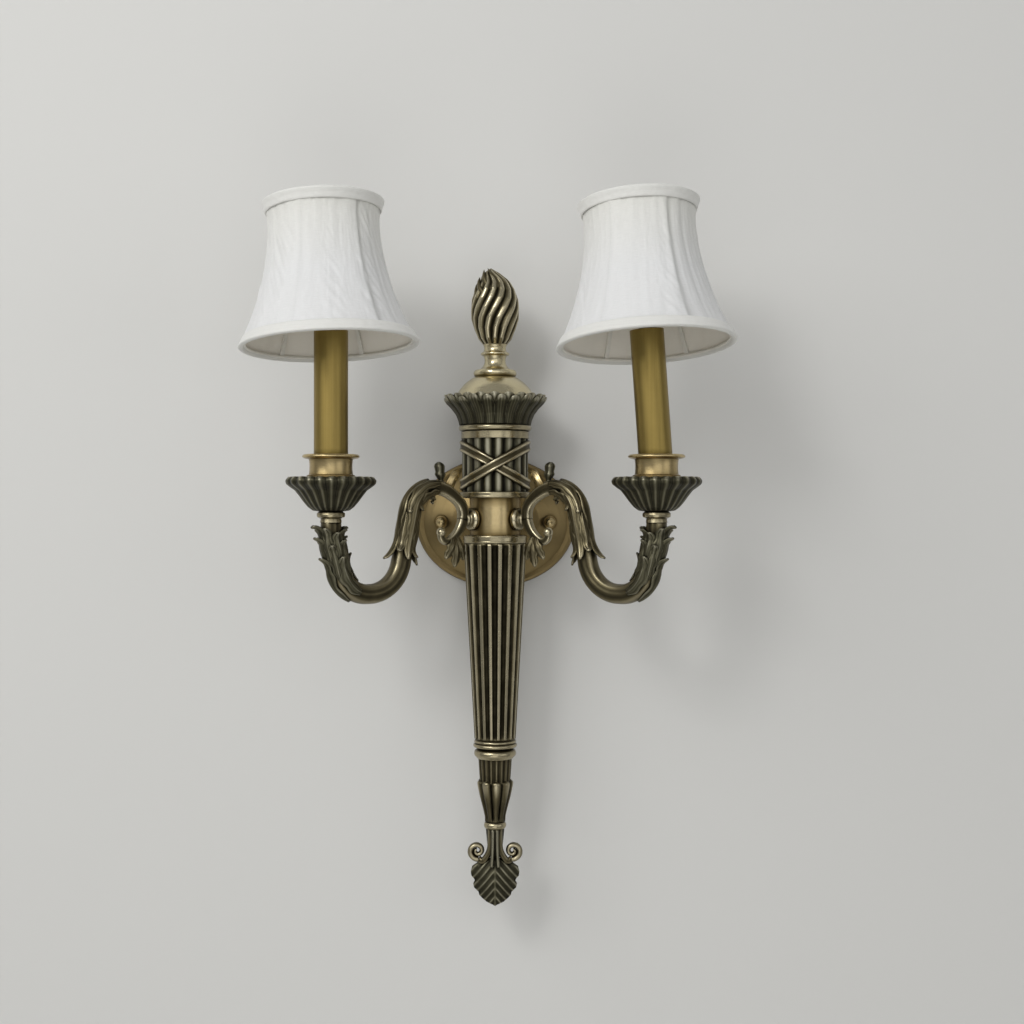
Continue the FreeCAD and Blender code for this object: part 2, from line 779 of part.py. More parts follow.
def make_tip_leaf():
    """The cast leaf that ends the column: a stem, a lobed blade and two scrolls."""
    body = new_body("tip_leaf")
    length, wide, depth = S.leaf_length, S.leaf_half_width, S.leaf_depth
    outline = [
        (0.32, -0.20, 0.0), (0.52, -0.33, 0.0), (0.84, -0.375, -0.28), (0.90, -0.66, -0.25),
        (0.72, -0.82, -0.20), (0.46, -0.88, -0.42)]
    corners = [(wide * x, length * y, bulge) for x, y, bulge in outline]
    for i in range(len(outline) - 1, -1, -1):
        x, y, _ = outline[i]
        corners.append((-(wide * x), length * y, outline[i - 1][2] if i else 0.0))
    corners = [corner if corner[2] else corner[:2] for corner in reversed(corners)]
    sketch = new_sketch(body, "blade_outline")
    closed_profile(sketch, corners)
    pad = body.newObject("PartDesign::Pad", "blade")
    pad.Profile = sketch
    pad.setExpression("Length", depth.text)
    pad.Midplane = True
    stem = circle_sketch(body, "stem_round", S.leaf_stem_radius)
    rise = body.newObject("PartDesign::Pad", "stem")
    rise.Profile = stem
    rise.setExpression("Length", (length * 0.45).text)
    rise.Reversed = True
    body.Tip = rise
    for side, name in SIDES:
        ring = circle_sketch(body, f"{name}_scroll_round", S.scroll_radius,
                             S.scroll_offset * side, -S.scroll_drop, "XZ_Plane")
        roll = body.newObject("PartDesign::Pad", f"{name}_scroll")
        roll.Profile = ring
        roll.setExpression("Length", (depth * 1.25).text)
        roll.Midplane = True
        body.Tip = roll
    hole = circle_sketch(body, "rod_thread_hole", S.rod_radius)
    bore = body.newObject("PartDesign::Pocket", "rod_thread_bore")
    bore.Profile = hole
    bore.setExpression("Length", (S.rod_thread + 1).text)
    body.Tip = bore
    cut_check(body, bore)
    body.setExpression("Placement.Base.y", (-S.column_reach).text)
    body.setExpression("Placement.Base.z", BEAD_BASE.text)
    doc.recompute()


def make_column():
    make_reeded_block()
    make_ribbons()
    low, high = S.ring_radius - 1.0, S.ring_radius
    tall = S.ring_height
    turned("block_rings", [
        (S.block_bore_radius, 0), (low, 0), (low, tall * 0.5), (low - 0.8, tall * 0.54),
        (high - 0.6, tall * 0.58, -0.35), (high - 0.6, tall), (ROD_HOLE, tall),
        (ROD_HOLE, tall * 0.6), (S.block_bore_radius, tall * 0.6)], RINGS_BASE)
    make_crown()
    wide, tall, neck = S.dome_radius, S.dome_height, S.stem_radius
    turned("crown_dome", [
        (ROD_HOLE, 0), (wide, 0), (wide, 1.2), (wide * 0.87, tall * 0.42, -0.06),
        (neck, tall), (ROD_HOLE, tall)], DOME_BASE)
    tall = S.stem_height
    turned("finial_stem", [
        (S.rod_radius, 0), (neck, 0, -0.25), (neck, tall * 0.2), (neck - 2.8, tall * 0.22, 0.2),
        (neck * 0.56, tall * 0.6), (neck * 0.58, tall * 0.64), (neck * 0.69, tall * 0.67, -0.3),
        (neck * 0.69, tall * 0.74), (neck * 0.59, tall * 0.78, 0.15),
        (S.flame_foot_radius, tall), (S.rod_radius, tall)], STEM_BASE)
    make_flame()
    high, inner = S.collar_radius, S.shaft_bore_radius
    tall = S.collar_height
    turned("shaft_collar", [
        (ROD_HOLE, 0), (high - 0.9, 0, -0.3), (high, tall * 0.3), (high, tall * 0.7, -0.3),
        (high - 0.9, tall), (ROD_HOLE, tall)], COLLAR_BASE)
    make_shaft()
    high, tall = S.double_ring_radius, S.double_ring_height
    turned("double_ring", [
        (ROD_HOLE, 0), (high * 0.86, 0), (high * 0.92, tall * 0.08, -0.25),
        (high * 0.92, tall * 0.44), (high * 0.84, tall * 0.5), (high * 0.97, tall * 0.56, -0.4),
        (high * 0.97, tall * 0.76), (high * 0.95, tall * 0.78, -0.4), (high * 0.95, tall * 0.93),
        (high * 0.9, tall), (ROD_HOLE, tall)], DOUBLE_RING_BASE)
    make_gadroon_cup()
    tall = S.bead_height
    turned("tip_bead", [
        (ROD_HOLE, 0), (S.bead_radius * 0.85, 0, -0.35), (S.bead_radius * 0.85, tall),
        (ROD_HOLE, tall)], BEAD_BASE)
    make_tip_leaf()


def rod(label, base, top):
    turned(label, [(0, 0), (S.rod_radius, 0), (S.rod_radius, top - base), (0, top - base)], base)


def hex_nut(across_corners, bore, height):
    corners = [Vector(across_corners * math.cos(math.radians(60 * i)),
                      across_corners * math.sin(math.radians(60 * i)), 0) for i in range(7)]
    nut = Part.Face(Part.makePolygon(corners)).extrude(Vector(0, 0, height))
    return nut.cut(Part.makeCylinder(bore, height))


make_column()
rod("upper_rod", HUB_TOP - S.lid_spigot, STEM_BASE + S.rod_thread)
rod("lower_rod", BEAD_BASE - S.rod_thread, HUB_BASE + S.hub_floor + S.nut_height + 1.5)
nut_base = Vector(0, -float(S.column_reach), float(HUB_BASE + S.hub_floor))
solid_node("rod_nut", hex_nut(float(S.nut_radius), float(S.rod_radius), float(S.nut_height)),
           Placement(nut_base, Rotation()))


# Back plate, bar and what holds them

def oval(shape):
    """Stretches a round shape of the plate's height to the plate's width."""
    matrix = FreeCAD.Matrix()
    matrix.scale(float(S.plate_width) / float(S.plate_tall), 1.0, 1.0)
    return shape.transformGeometry(matrix)


def facing_front():
    """Turns a piece that was spun about Z so that its top faces the front."""
    return Placement(ORIGIN, Rotation(X_AXIS, 90))


def make_plate():
    """The oval back plate: a rolled rim, a cove and a low dome, hollow behind."""
    rim, depth, wall = float(S.plate_tall) / 2, float(S.plate_depth), float(S.plate_wall)
    outer = [(rim, -wall), (rim, 0.14 * depth), (0.985 * rim, 0.24 * depth), (0.95 * rim, 0.29 * depth),
             (0.90 * rim, 0.27 * depth), (0.87 * rim, 0.33 * depth), (0.80 * rim, 0.46 * depth),
             (0.68 * rim, 0.66 * depth), (0.54 * rim, 0.84 * depth), (0.41 * rim, 0.95 * depth),
             (0.33 * rim, depth)]
    inner = [(r - wall * 1.15, max(0.0, z - wall)) for r, z in outer[3:]]
    inner = [(rim - 2 * wall, -wall), (rim - 2 * wall, 0.10 * depth)] + inner[2:]
    shell = spun(outer + [(0, depth), (0, depth - wall)] + list(reversed(inner)))
    shell = turned_at(facing_front(), oval(shell))
    across = 2 * float(S.plate_width)
    behind_wall = Part.makeBox(across, 2 * wall, across, Vector(-across / 2, 0, -across / 2))
    shell = shell.cut(behind_wall)
    bore = Part.makeCylinder(float(S.hub_nipple_radius + S.rod_slack), 2 * depth,
                             Vector(0, 0, float(S.arm_level)), -Y_AXIS)
    shell = shell.cut(bore)
    half, seat = float(S.stud_spacing) / 2, float(S.plate_seat_depth)
    for side in (-1, 1):
        spot = Vector(side * half, -seat, 0)
        boss = Part.makeCylinder(float(S.plate_seat_radius), 3 * wall, spot, Y_AXIS)
        shell = shell.fuse(boss)
    for side in (-1, 1):
        spot = Vector(side * half, 0, 0)
        front = Part.makeCylinder(float(S.plate_seat_radius), depth, Vector(spot.x, -seat, 0),
                                  -Y_AXIS)
        hole = Part.makeCylinder(float(S.stud_radius + S.rod_slack), depth, spot, -Y_AXIS)
        shell = shell.cut(front).cut(hole)
    solid_node("back_plate", shell.Solids[0] if len(shell.Solids) == 1 else shell)


def make_bar():
    """The crossbar that screws to the wall box and carries the plate's studs."""
    body = new_body("crossbar")
    half, tall = S.bar_length * 0.5, S.bar_width * 0.5
    outline = new_sketch(body, "bar_outline")
    closed_profile(outline, [
        (-(half - tall), -tall), (half - tall, -tall, -0.5), (half - tall, tall),
        (-(half - tall), tall, -0.5)])
    pad = body.newObject("PartDesign::Pad", "bar_pad")
    pad.Profile = outline
    pad.setExpression("Length", S.bar_gauge.text)
    doc.recompute()
    slot = new_sketch(body, "box_slots")
    reach, radius = (S.box_slot_length - S.box_slot_radius * 2) * 0.5, S.box_slot_radius
    for side in (-1, 1):
        middle = S.box_screw_spacing * 0.5 * side
        closed_profile(slot, [
            (middle - reach, -radius), (middle + reach, -radius, -0.5),
            (middle + reach, radius), (middle - reach, radius, -0.5)])
    cuts = [("box_slot_cut", slot)]
    cuts.append(("nipple_cut", circle_sketch(body, "nipple_hole", S.hub_nipple_radius + 1.0,
                                             0.0, 0.0, "XZ_Plane")))
    for side, name in SIDES:
        hole = circle_sketch(body, f"{name}_stud_hole", S.stud_radius,
                             S.stud_spacing * 0.5 * side, 0.0, "XZ_Plane")
        cuts.append((f"{name}_stud_cut", hole))
    for name, profile in cuts:
        pocket = body.newObject("PartDesign::Pocket", name)
        pocket.Profile = profile
        pocket.Type = "ThroughAll"
        pocket.Midplane = True
        body.Tip = pocket
        cut_check(body, pocket)


def make_plate_fasteners():
    half, seat = float(S.stud_spacing) / 2, float(S.plate_seat_depth)
    gauge, ball = float(S.bar_gauge), float(S.ball_nut_radius)
    depth = seat + ball * 1.2
    studs, nuts, locks = [], [], []
    for side in (-1, 1):
        spot = Vector(side * half, 0, 0)
        studs.append(Part.makeCylinder(float(S.stud_radius), depth, spot, -Y_AXIS))
        outline = [(0, ball * 2.0), (ball * 0.42, ball * 1.92), (ball * 0.8, ball * 1.6),
                   (ball * 0.98, ball * 1.1), (ball * 0.9, ball * 0.62), (ball * 0.72, ball * 0.4),
                   (ball * 1.05, ball * 0.3), (ball * 1.05, 0)]
        nut = spun([(0, 0)] + list(reversed(outline)))
        nut = nut.cut(Part.makeCylinder(float(S.stud_radius), ball * 1.2))
        place = Placement(Vector(side * half, -seat, 0), Rotation(X_AXIS, 90))
        nuts.append(turned_at(place, nut))
        lock = hex_nut(float(S.bar_nut_radius), float(S.stud_radius), float(S.bar_nut_height))
        place = Placement(Vector(side * half, -gauge, 0), Rotation(X_AXIS, 90))
        locks.append(turned_at(place, lock))
    solid_node("plate_studs", Part.makeCompound(studs))
    solid_node("ball_nuts", Part.makeCompound(nuts))
    solid_node("stud_locknuts", Part.makeCompound(locks))


def make_hub_fasteners():
    """The hollow nipple that holds the hub to the plate, with its neck, washer and nut."""
    level = float(S.arm_level)
    reach = float(S.column_reach)
    plate = float(S.plate_depth)
    wall = float(S.plate_wall)
    inside = float(S.hub_radius - S.hub_wall)
    front = reach - inside + 2.0
    back = plate - wall - float(S.washer_gauge + S.nut_height) - 1.5
    radius = float(S.hub_nipple_radius)
    spot = Vector(0, -front, level)
    nipple = Part.makeCylinder(radius, front - back, spot, Y_AXIS)
    nipple = nipple.cut(Part.makeCylinder(float(S.hub_nipple_bore), front - back, spot, Y_AXIS))
    solid_node("hub_nipple", nipple)
    neck = Part.makeCylinder(float(S.hub_neck_radius), reach - plate, Vector(0, -reach, level),
                             Y_AXIS)
    hub = Part.makeCylinder(float(S.hub_radius), 200, Vector(0, -reach, -100))
    bore = Part.makeCylinder(radius + float(S.rod_slack), reach, Vector(0, -reach, level), Y_AXIS)
    solid_node("hub_neck", neck.cut(hub).cut(bore))
    washer = tube_solid(float(S.washer_radius), radius + float(S.rod_slack), float(S.washer_gauge))
    place = Placement(Vector(0, -(plate - wall), level), Rotation(X_AXIS, -90))
    solid_node("nipple_washer", washer, place)
    nut = hex_nut(float(S.nut_radius) * 1.45, radius, float(S.nut_height))
    place = Placement(Vector(0, -(plate - wall) + float(S.washer_gauge), level),
                      Rotation(X_AXIS, -90))
    solid_node("nipple_nut", nut, place)


# Arms

def side_place(side):
    """Puts a piece drawn in the arm's own plane on the left or right of the column."""
    turn = -float(S.arm_splay) if side > 0 else 180 + float(S.arm_splay)
    return Placement(Vector(0, -float(S.column_reach), 0), Rotation(Z_AXIS, turn))


def arm_route():
    """The arm's line from the hub over the scroll, down, round the bend and up."""
    rise, drop = float(S.bend_rise), float(S.shoulder_drop)
    route = Path(float(S.scroll_start), float(S.arm_level), float(S.scroll_heading))
    route.arc(float(S.scroll_top_radius), -float(S.scroll_top_turn))
    route.arc(float(S.scroll_back_radius), -float(S.scroll_back_turn))
    route.arc(float(S.shoulder_radius), -(route.heading + drop))
    leg, flat = float(S.arm_leg), float(S.bend_flat)
    rise_radius, top = float(S.arm_rise_radius), float(S.arm_top)
    ratio = float(S.bend_ratio)
    sin_d, cos_d = math.sin(math.radians(drop)), math.cos(math.radians(drop))
    sin_r, cos_r = math.sin(math.radians(rise)), math.cos(math.radians(rise))
    across = float(S.arm_reach) - route.spot.x - flat - leg * cos_r - rise_radius * (1 - sin_r)
    up = float(S.candle_base) - route.spot.z - leg * sin_r - rise_radius * cos_r - top
    # The straight drop and the bend's radius come from the two distances left to cover
    across_per_bend = ratio * sin_d + sin_r
    up_per_bend = -ratio * (1 - cos_d) + (1 - cos_r)
    bend = (across + up * cos_d / sin_d) / (across_per_bend + up_per_bend * cos_d / sin_d)
    straight = (across - bend * across_per_bend) / cos_d
    route.line(straight)
    route.arc(bend * ratio, drop)
    route.line(flat)
    route.arc(bend, rise)
    route.line(leg)
    route.arc(rise_radius, 90 - rise)
    route.line(top)
    return route


def along(route, station, distance=0.0):
    """A frame on the route: its Z runs along the route and its Y is the plane's normal."""
    spot, heading = route.stations[station]
    aim = route.aim(heading)
    return Placement(spot + aim * distance, Rotation(Y_AXIS, 90 - heading))


def arm_leaves(route, station, distance, radius, share=1.0, start=0.0):
    leaf = petal(float(S.arm_leaf_reach) * share, float(S.arm_leaf_rise) * share,
                 float(S.arm_leaf_width) * share, 2.4)
    leaf.translate(Vector(radius, 0, 0))
    place = along(route, station, distance)
    return [turned_at(place, item) for item in around_z(leaf, float(S.arm_leaves), start)]


def make_arms():
    route = arm_route()
    band, shoulder = float(S.scroll_band_radius), float(S.arm_shoulder_radius)
    bend, neck = float(S.arm_bend_radius), float(S.arm_neck_radius)
    radii = [band, band, band * 1.3, shoulder, bend, bend, bend, bend * 1.12, bend, neck, neck]
    pieces = swept(route, radii)
    level, tail = float(S.arm_level), float(S.arm_tail_radius)
    hub, boss_end = float(S.hub_radius), float(S.arm_boss_end)
    start = Vector(float(S.arm_tail_end), 0, level)
    pieces.append(Part.makeCylinder(tail, float(S.scroll_start) - start.x, start, X_AXIS))
    boss = float(S.arm_boss_radius)
    knob = [(0, hub - 3), (boss * 0.86, hub - 3), (boss, hub + 1.4), (boss, hub + 3.2),
            (boss * 0.8, hub + 4.9), (boss * 0.5, boss_end), (0, boss_end)]
    spin = Placement(Vector(0, 0, level), Rotation(Y_AXIS, 90))
    knob = turned_at(spin, spun(knob))
    clear = Part.makeCylinder(hub + float(S.seat_slack), 60, Vector(0, 0, level - 30))
    pieces.append(knob.cut(clear))
    volute = Path(float(S.scroll_start), level, float(S.scroll_heading) + 180)
    volute.arc(float(S.volute_radius), float(S.volute_turn))
    volute.arc(float(S.volute_end_radius), float(S.volute_end_turn))
    curl = float(S.volute_band_radius)
    pieces += swept(volute, [band, (band + curl) / 2, curl])
    pieces.append(Part.makeSphere(curl * 1.25, volute.spot))
    pieces.append(Part.makeSphere(band, Vector(float(S.scroll_start), 0, level)))
    top_spot, _ = route.stations[2]
    bud, tall = float(S.bud_radius), float(S.bud_height)
    drop = [(0, -2.0), (bud * 0.7, -2.0), (bud * 0.55, tall * 0.12), (bud * 0.95, tall * 0.3),
            (bud, tall * 0.45), (bud * 0.8, tall * 0.68), (bud * 0.4, tall * 0.88), (0, tall)]
    place = Placement(top_spot + Vector(6.0, 0, band + 0.5), Rotation(Y_AXIS, 8))
    pieces.append(turned_at(place, spun(drop)))
    pieces += arm_leaves(route, 3, 12.0, shoulder - 1.2, 0.9, 0.0)
    pieces += arm_leaves(route, 7, 0.0, bend - 1.0, 0.9, 30.0)
    pieces += arm_leaves(route, 7, 9.0, bend - 1.6, 1.0, 0.0)
    end = Vector(float(S.arm_reach), 0, float(S.candle_base))
    stub = Part.makeCylinder(float(S.candle_tail_radius), float(S.candle_tail_length), end)
    pieces.append(stub)
    arm = joined(pieces)
    bore = float(S.arm_bore_radius)
    cuts = swept(route, [bore] * len(route.stations))
    cuts.append(Part.makeCylinder(bore, float(S.scroll_start) - start.x, start, X_AXIS))
    cuts.append(Part.makeSphere(bore * 1.3, Vector(float(S.scroll_start) - 0.9, 0, level + 0.9)))
    cuts.append(Part.makeCylinder(float(S.candle_tail_bore), float(S.candle_tail_length) + 2, end))
    for cut in cuts:
        arm = arm.cut(cut)
    arm = arm.Solids[0]
    for side, name in SIDES:
        solid_node(f"{name}_arm", arm, side_place(side))


def make_arm_nuts():
    """The nuts on the arms' threaded tails, seated against the hub's round inside."""
    wide = float(S.arm_nut_radius)
    inside = float(S.hub_radius - S.hub_wall)
    face = math.sqrt(inside ** 2 - wide ** 2)
    nut = hex_nut(wide, float(S.arm_tail_radius), float(S.nut_height))
    nut = turned_at(Placement(Vector(face, 0, float(S.arm_level)), Rotation(Y_AXIS, -90)), nut)
    pair_node("arm_locknuts", nut, [side_place(side) for side, _ in SIDES])


# Candle ends, on the axis at the end of each arm

PAN_BASE = S.candle_base + S.pan_collar_height
CUP_FOOT = PAN_BASE + S.pan_ledge
STEM_FOOT = S.candle_base + S.candle_tail_length + S.stem_gap
SOCKET_FOOT = S.stem_tube_length
BORE_FLOOR = SOCKET_FOOT + S.socket_length - S.socket_bore_depth
BULB_FOOT = BORE_FLOOR + S.socket_contact_height + S.bulb_gap
CAP_FOOT = BULB_FOOT + S.bulb_contact_height + S.bulb_gap
GLASS_FOOT = CAP_FOOT + S.bulb_cap_length
GLASS_TOP = GLASS_FOOT + S.bulb_length
KNUCKLE = GLASS_TOP + S.knuckle_height


def sized(name, words):
    """The Size of one side, such as left_bulb_lean."""
    return getattr(S, f"{name}_{words}")


def candle_spot(side, up):
    splay = math.radians(float(S.arm_splay))
    reach = float(S.arm_reach)
    return Vector(side * reach * math.cos(splay),
                  -(float(S.column_reach) + reach * math.sin(splay)), float(up))


def leaning(side, up, lean, length=0.0):
    """A frame on a line that leaves the candle's axis at height up, leaning left."""
    turn = Rotation(Y_AXIS, -float(lean))
    return Placement(candle_spot(side, up) + turn.multVec(Z_AXIS) * float(length), turn)


def bulb_frame(side, name, length=0.0):
    return leaning(side, STEM_FOOT, sized(name, "bulb_lean"), length)


def shade_frame(side, name):
    """The shade's frame at its knuckle: leaning left and nodding back to the wall."""
    knuckle = bulb_frame(side, name, KNUCKLE).Base
    lean = Rotation(Y_AXIS, -float(sized(name, "shade_lean")))
    nod = Rotation(X_AXIS, -float(sized(name, "shade_nod")))
    return Placement(knuckle, lean.multiply(nod))


def make_pan(side, name):
    """The leafy drip pan: lobed outside, a ledge inside its rim for the cup's flange."""
    tall, wide = float(S.pan_height), float(S.pan_radius)
    rows = [(0.0, 0.35, 0.2), (0.06, 0.42, 0.4), (0.2, 0.60, 1.0), (0.38, 0.72, 1.4),
            (0.62, 0.86, 1.6), (0.85, 0.95, 1.8), (1.0, 1.0, 2.4)]
    sections = [lobed_wire(share * wide, up * tall, float(S.pan_leaves), depth)
                for up, share, depth in rows]
    bowl = Part.makeLoft(sections, True, False)
    seat = float(S.cup_flange_radius) + 0.3
    ledge, wall = float(S.pan_ledge), float(S.pan_wall)
    hollow = spun([(0, wall * 1.5), (0.3 * wide, wall * 1.5), (0.52 * wide, 0.36 * tall),
                   (0.66 * wide, 0.6 * tall), (seat - 2.2, ledge), (seat, ledge),
                   (seat, tall + 1), (0, tall + 1)])
    hole = Part.makeCylinder(float(S.candle_tail_radius + S.rod_slack), tall)
    pan = bowl.cut(hollow).cut(hole)
    solid_node(f"{name}_drip_pan", pan, Placement(candle_spot(side, PAN_BASE), Rotation()))


def candle_frame(side, up):
    return Placement(candle_spot(side, up), Rotation())


def make_candle_fittings():
    """The pieces that both candle ends have alike, each kind as one node."""
    hole = float(S.candle_tail_radius + S.rod_slack)
    wide, tall = float(S.pan_collar_radius), float(S.pan_collar_height)
    collar = spun([
        (hole, 0), (wide * 0.76, 0), (wide * 0.72, tall * 0.3), (wide * 0.86, tall * 0.38),
        (wide * 0.97, tall * 0.44), (wide, tall * 0.6), (wide * 0.97, tall * 0.76),
        (wide * 0.84, tall * 0.84), (wide * 0.98, tall), (hole, tall)])
    nut = hex_nut(float(S.cup_nut_radius), float(S.candle_tail_radius), float(S.nut_height))
    pair_node("pan_collars", collar, [candle_frame(side, S.candle_base) for side, _ in SIDES])
    pair_node("cup_nuts", nut, [candle_frame(side, CUP_FOOT + S.cup_floor) for side, _ in SIDES])
    bore, depth = float(S.socket_bore_radius), float(S.socket_bore_depth)
    stem = tube_solid(float(S.stem_tube_radius), float(S.stem_tube_bore), float(SOCKET_FOOT))
    shell = tube_solid(bore, float(S.screw_shell_radius), depth - 1)
    contact = Part.makeCylinder(float(S.bulb_contact_radius) + 0.6, float(S.socket_contact_height))
    for label, piece, up in (("socket_stems", stem, 0), ("screw_shells", shell, BORE_FLOOR),
                             ("socket_contacts", contact, BORE_FLOOR)):
        pair_node(label, piece, [bulb_frame(side, name, up) for side, name in SIDES])


def make_candle_end(side, name):
    make_pan(side, name)
    hole = S.candle_tail_radius + S.rod_slack
    flange, gauge, wall = S.cup_flange_radius, S.cup_flange_gauge, S.cup_body_radius
    lip, tall, bore = S.cup_lip_radius, S.cup_height, S.cup_bore_radius
    turned(f"{name}_candle_cup", [
        (hole, 0), (flange - gauge * 0.4, 0, -0.4), (flange - gauge * 0.4, gauge),
        (wall + 1.4, gauge + 0.5), (wall + 1.4, gauge + 1.2), (wall, gauge + 1.8, 0.04),
        (wall, tall - 3.4), (lip - 0.8, tall - 2.6), (lip, tall - 2.2, -0.3), (lip, tall - 0.6),
        (lip - 0.6, tall), (bore, tall), (bore, S.cup_floor), (hole, S.cup_floor)],
        CUP_FOOT, side)
    lean, radius, length = sized(name, "candle_lean"), S.sleeve_radius, S.sleeve_length
    lift = float(radius) * math.sin(math.radians(float(lean))) + float(S.sleeve_lift)
    foot = float(CUP_FOOT + S.cup_floor) + lift
    turned(f"{name}_candle_sleeve", [
        (radius - S.sleeve_wall, 0), (radius, 0), (radius, length),
        (radius - S.sleeve_wall, length)], place=leaning(side, foot, lean))
    outer, inner, tall = S.socket_radius, S.socket_bore_radius, S.socket_length
    floor = BORE_FLOOR - SOCKET_FOOT
    turned(f"{name}_socket", [
        (S.stem_tube_bore, 0), (outer, 0), (outer, tall), (inner, tall), (inner, floor),
        (0, floor), (0, S.socket_well), (S.stem_tube_bore, S.socket_well)],
        place=bulb_frame(side, name, SOCKET_FOOT))


def bulb_bend():
    """The radius of the bulb's upper side, which is upright at the belly, and its tip's."""
    tip = float(S.bulb_radius) * 0.09
    across = float(S.bulb_radius) - tip
    rise = float(S.bulb_length - S.bulb_belly) - tip * 0.4
    return (across ** 2 + rise ** 2) / (2 * across), tip


def make_bulb(side, name):
    radius, tall = S.bulb_contact_radius, S.bulb_contact_height
    turned(f"{name}_bulb_contact", [
        (0, 0), (radius * 0.5, 0, -0.2), (radius, tall * 0.5), (radius, tall), (0, tall)],
        place=bulb_frame(side, name, BULB_FOOT))
    radius, tall = S.bulb_cap_radius, S.bulb_cap_length
    turned(f"{name}_bulb_cap", [
        (0, 0), (radius * 0.6, 0), (radius, tall * 0.12), (radius, tall), (0, tall)],
        place=bulb_frame(side, name, CAP_FOOT))
    belly, wide, tall, wall = S.bulb_belly, S.bulb_radius, S.bulb_length, S.bulb_wall
    neck = S.bulb_cap_radius + 0.4
    bend, tip = bulb_bend()
    bow = -math.tan(math.acos((bend - float(wide) + tip) / bend) / 4) / 2
    turned(f"{name}_bulb_glass", [
        (0, 0), (neck, 0), (neck + 0.3, tall * 0.06, -0.12), (wide, belly, bow),
        (tip, tall - tip * 0.4), (0, tall), (0, tall - wall - tip * 0.4),
        (tip * 0.7, tall - wall - tip * 0.6, -bow), (wide - wall, belly, 0.12),
        (neck - wall, tall * 0.06 + wall), (neck - wall, wall), (0, wall)],
        place=bulb_frame(side, name, GLASS_FOOT))


def make_clip(side, name):
    """The wire clip that grips the bulb: two loops, a hub and an ear for the pin."""
    wire = float(S.clip_wire_radius)
    wide, (bend, _) = float(S.bulb_radius), bulb_bend()
    reach = bend + float(S.clip_slack) + wire
    top_radius = float(S.clip_hub_radius) - 1.5 * wire
    turn = math.degrees(math.acos((bend - wide + top_radius) / reach))
    foot = float(GLASS_FOOT + S.bulb_belly - S.clip_grip_height - KNUCKLE)
    hub_base = float(GLASS_TOP - KNUCKLE + S.clip_slack)
    leg = Path(wide + float(S.clip_slack) + wire, foot - wire, 90)
    leg.line(float(S.clip_grip_height) + wire)
    leg.arc(reach, turn)
    top, spread, pieces = leg.spot, float(S.clip_spread), []
    legs = swept(leg, [wire] * len(leg.stations))
    legs.append(Part.makeCylinder(wire * 1.2, hub_base + 1 - top.z, top))
    for middle in (0, 180):
        for offset in (-spread, spread):
            swing = Placement(ORIGIN, Rotation(Z_AXIS, middle + offset))
            pieces += [turned_at(swing, item) for item in legs]
        grip = Part.makeTorus(wide + float(S.clip_slack) + wire, wire * 0.9, ORIGIN, Z_AXIS,
                              -180, 180, 2 * spread)
        place = Placement(Vector(0, 0, foot), Rotation(Z_AXIS, middle - spread))
        pieces.append(turned_at(place, grip))
    pieces.append(Part.makeCylinder(float(S.clip_hub_radius), float(S.clip_hub_height),
                                    Vector(0, 0, hub_base)))
    knuckle = bulb_frame(side, name, KNUCKLE)
    clip = [turned_at(knuckle, item) for item in pieces]
    thick, round_radius = float(S.knuckle_width), float(S.knuckle_radius)
    ear = Part.makeCylinder(round_radius, thick, Vector(-thick / 2, 0, 0), X_AXIS)
    neck = Part.makeBox(thick, round_radius * 1.5, -hub_base - 1.0,
                        Vector(-thick / 2, -round_radius * 0.75, hub_base + 1.0))
    hole = Part.makeCylinder(float(S.pin_radius + S.pin_slack), 4 * thick,
                             Vector(-2 * thick, 0, 0), X_AXIS)
    pin_frame = Placement(knuckle.Base, Rotation(Y_AXIS, -float(sized(name, "shade_lean"))))
    clip += [turned_at(pin_frame, ear), turned_at(pin_frame, neck)]
    clip = joined(clip).cut(turned_at(pin_frame, hole))
    solid_node(f"{name}_bulb_clip", clip)


def shade_radius(share, offset=0.0):
    """The shade's outer radius at a share of its height: a bell with a slight top flare."""
    waist, base, top = (float(S.shade_waist_radius), float(S.shade_base_radius),
                        float(S.shade_top_radius))
    turn = float(S.shade_waist_share)
    if share < turn:
        return waist + (base - waist) * (1 - share / turn) ** float(S.shade_flare) + offset
    return waist + (top - waist) * ((share - turn) / (1 - turn)) ** 2 + offset


def shade_line(low, high, offset, steps):
    """Points of the shade's side between two shares of its height, in the shade's frame."""
    base = float(S.knuckle_below_top - S.shade_height)
    tall = float(S.shade_height)
    shares = [low + (high - low) * i / steps for i in range(steps + 1)]
    return [(shade_radius(share, offset), base + tall * share) for share in shares]


def shade_band(outer, inner):
    """The face between two lines that follow the shade's side, each at its own offset."""
    edges, ends = [], []
    for offset in (outer, inner):
        points = [Vector(r, 0, z) for r, z in shade_line(0, 1, offset, 10)]
        curve = Part.BSplineCurve()
        curve.interpolate(Points=points)
        edges.append(curve.toShape())
        ends.append((points[0], points[-1]))
    for one, other in zip(*ends):
        edges.append(Part.makeLine(one, other))
    return Part.Face(Part.Wire(Part.__sortEdges__(edges)))


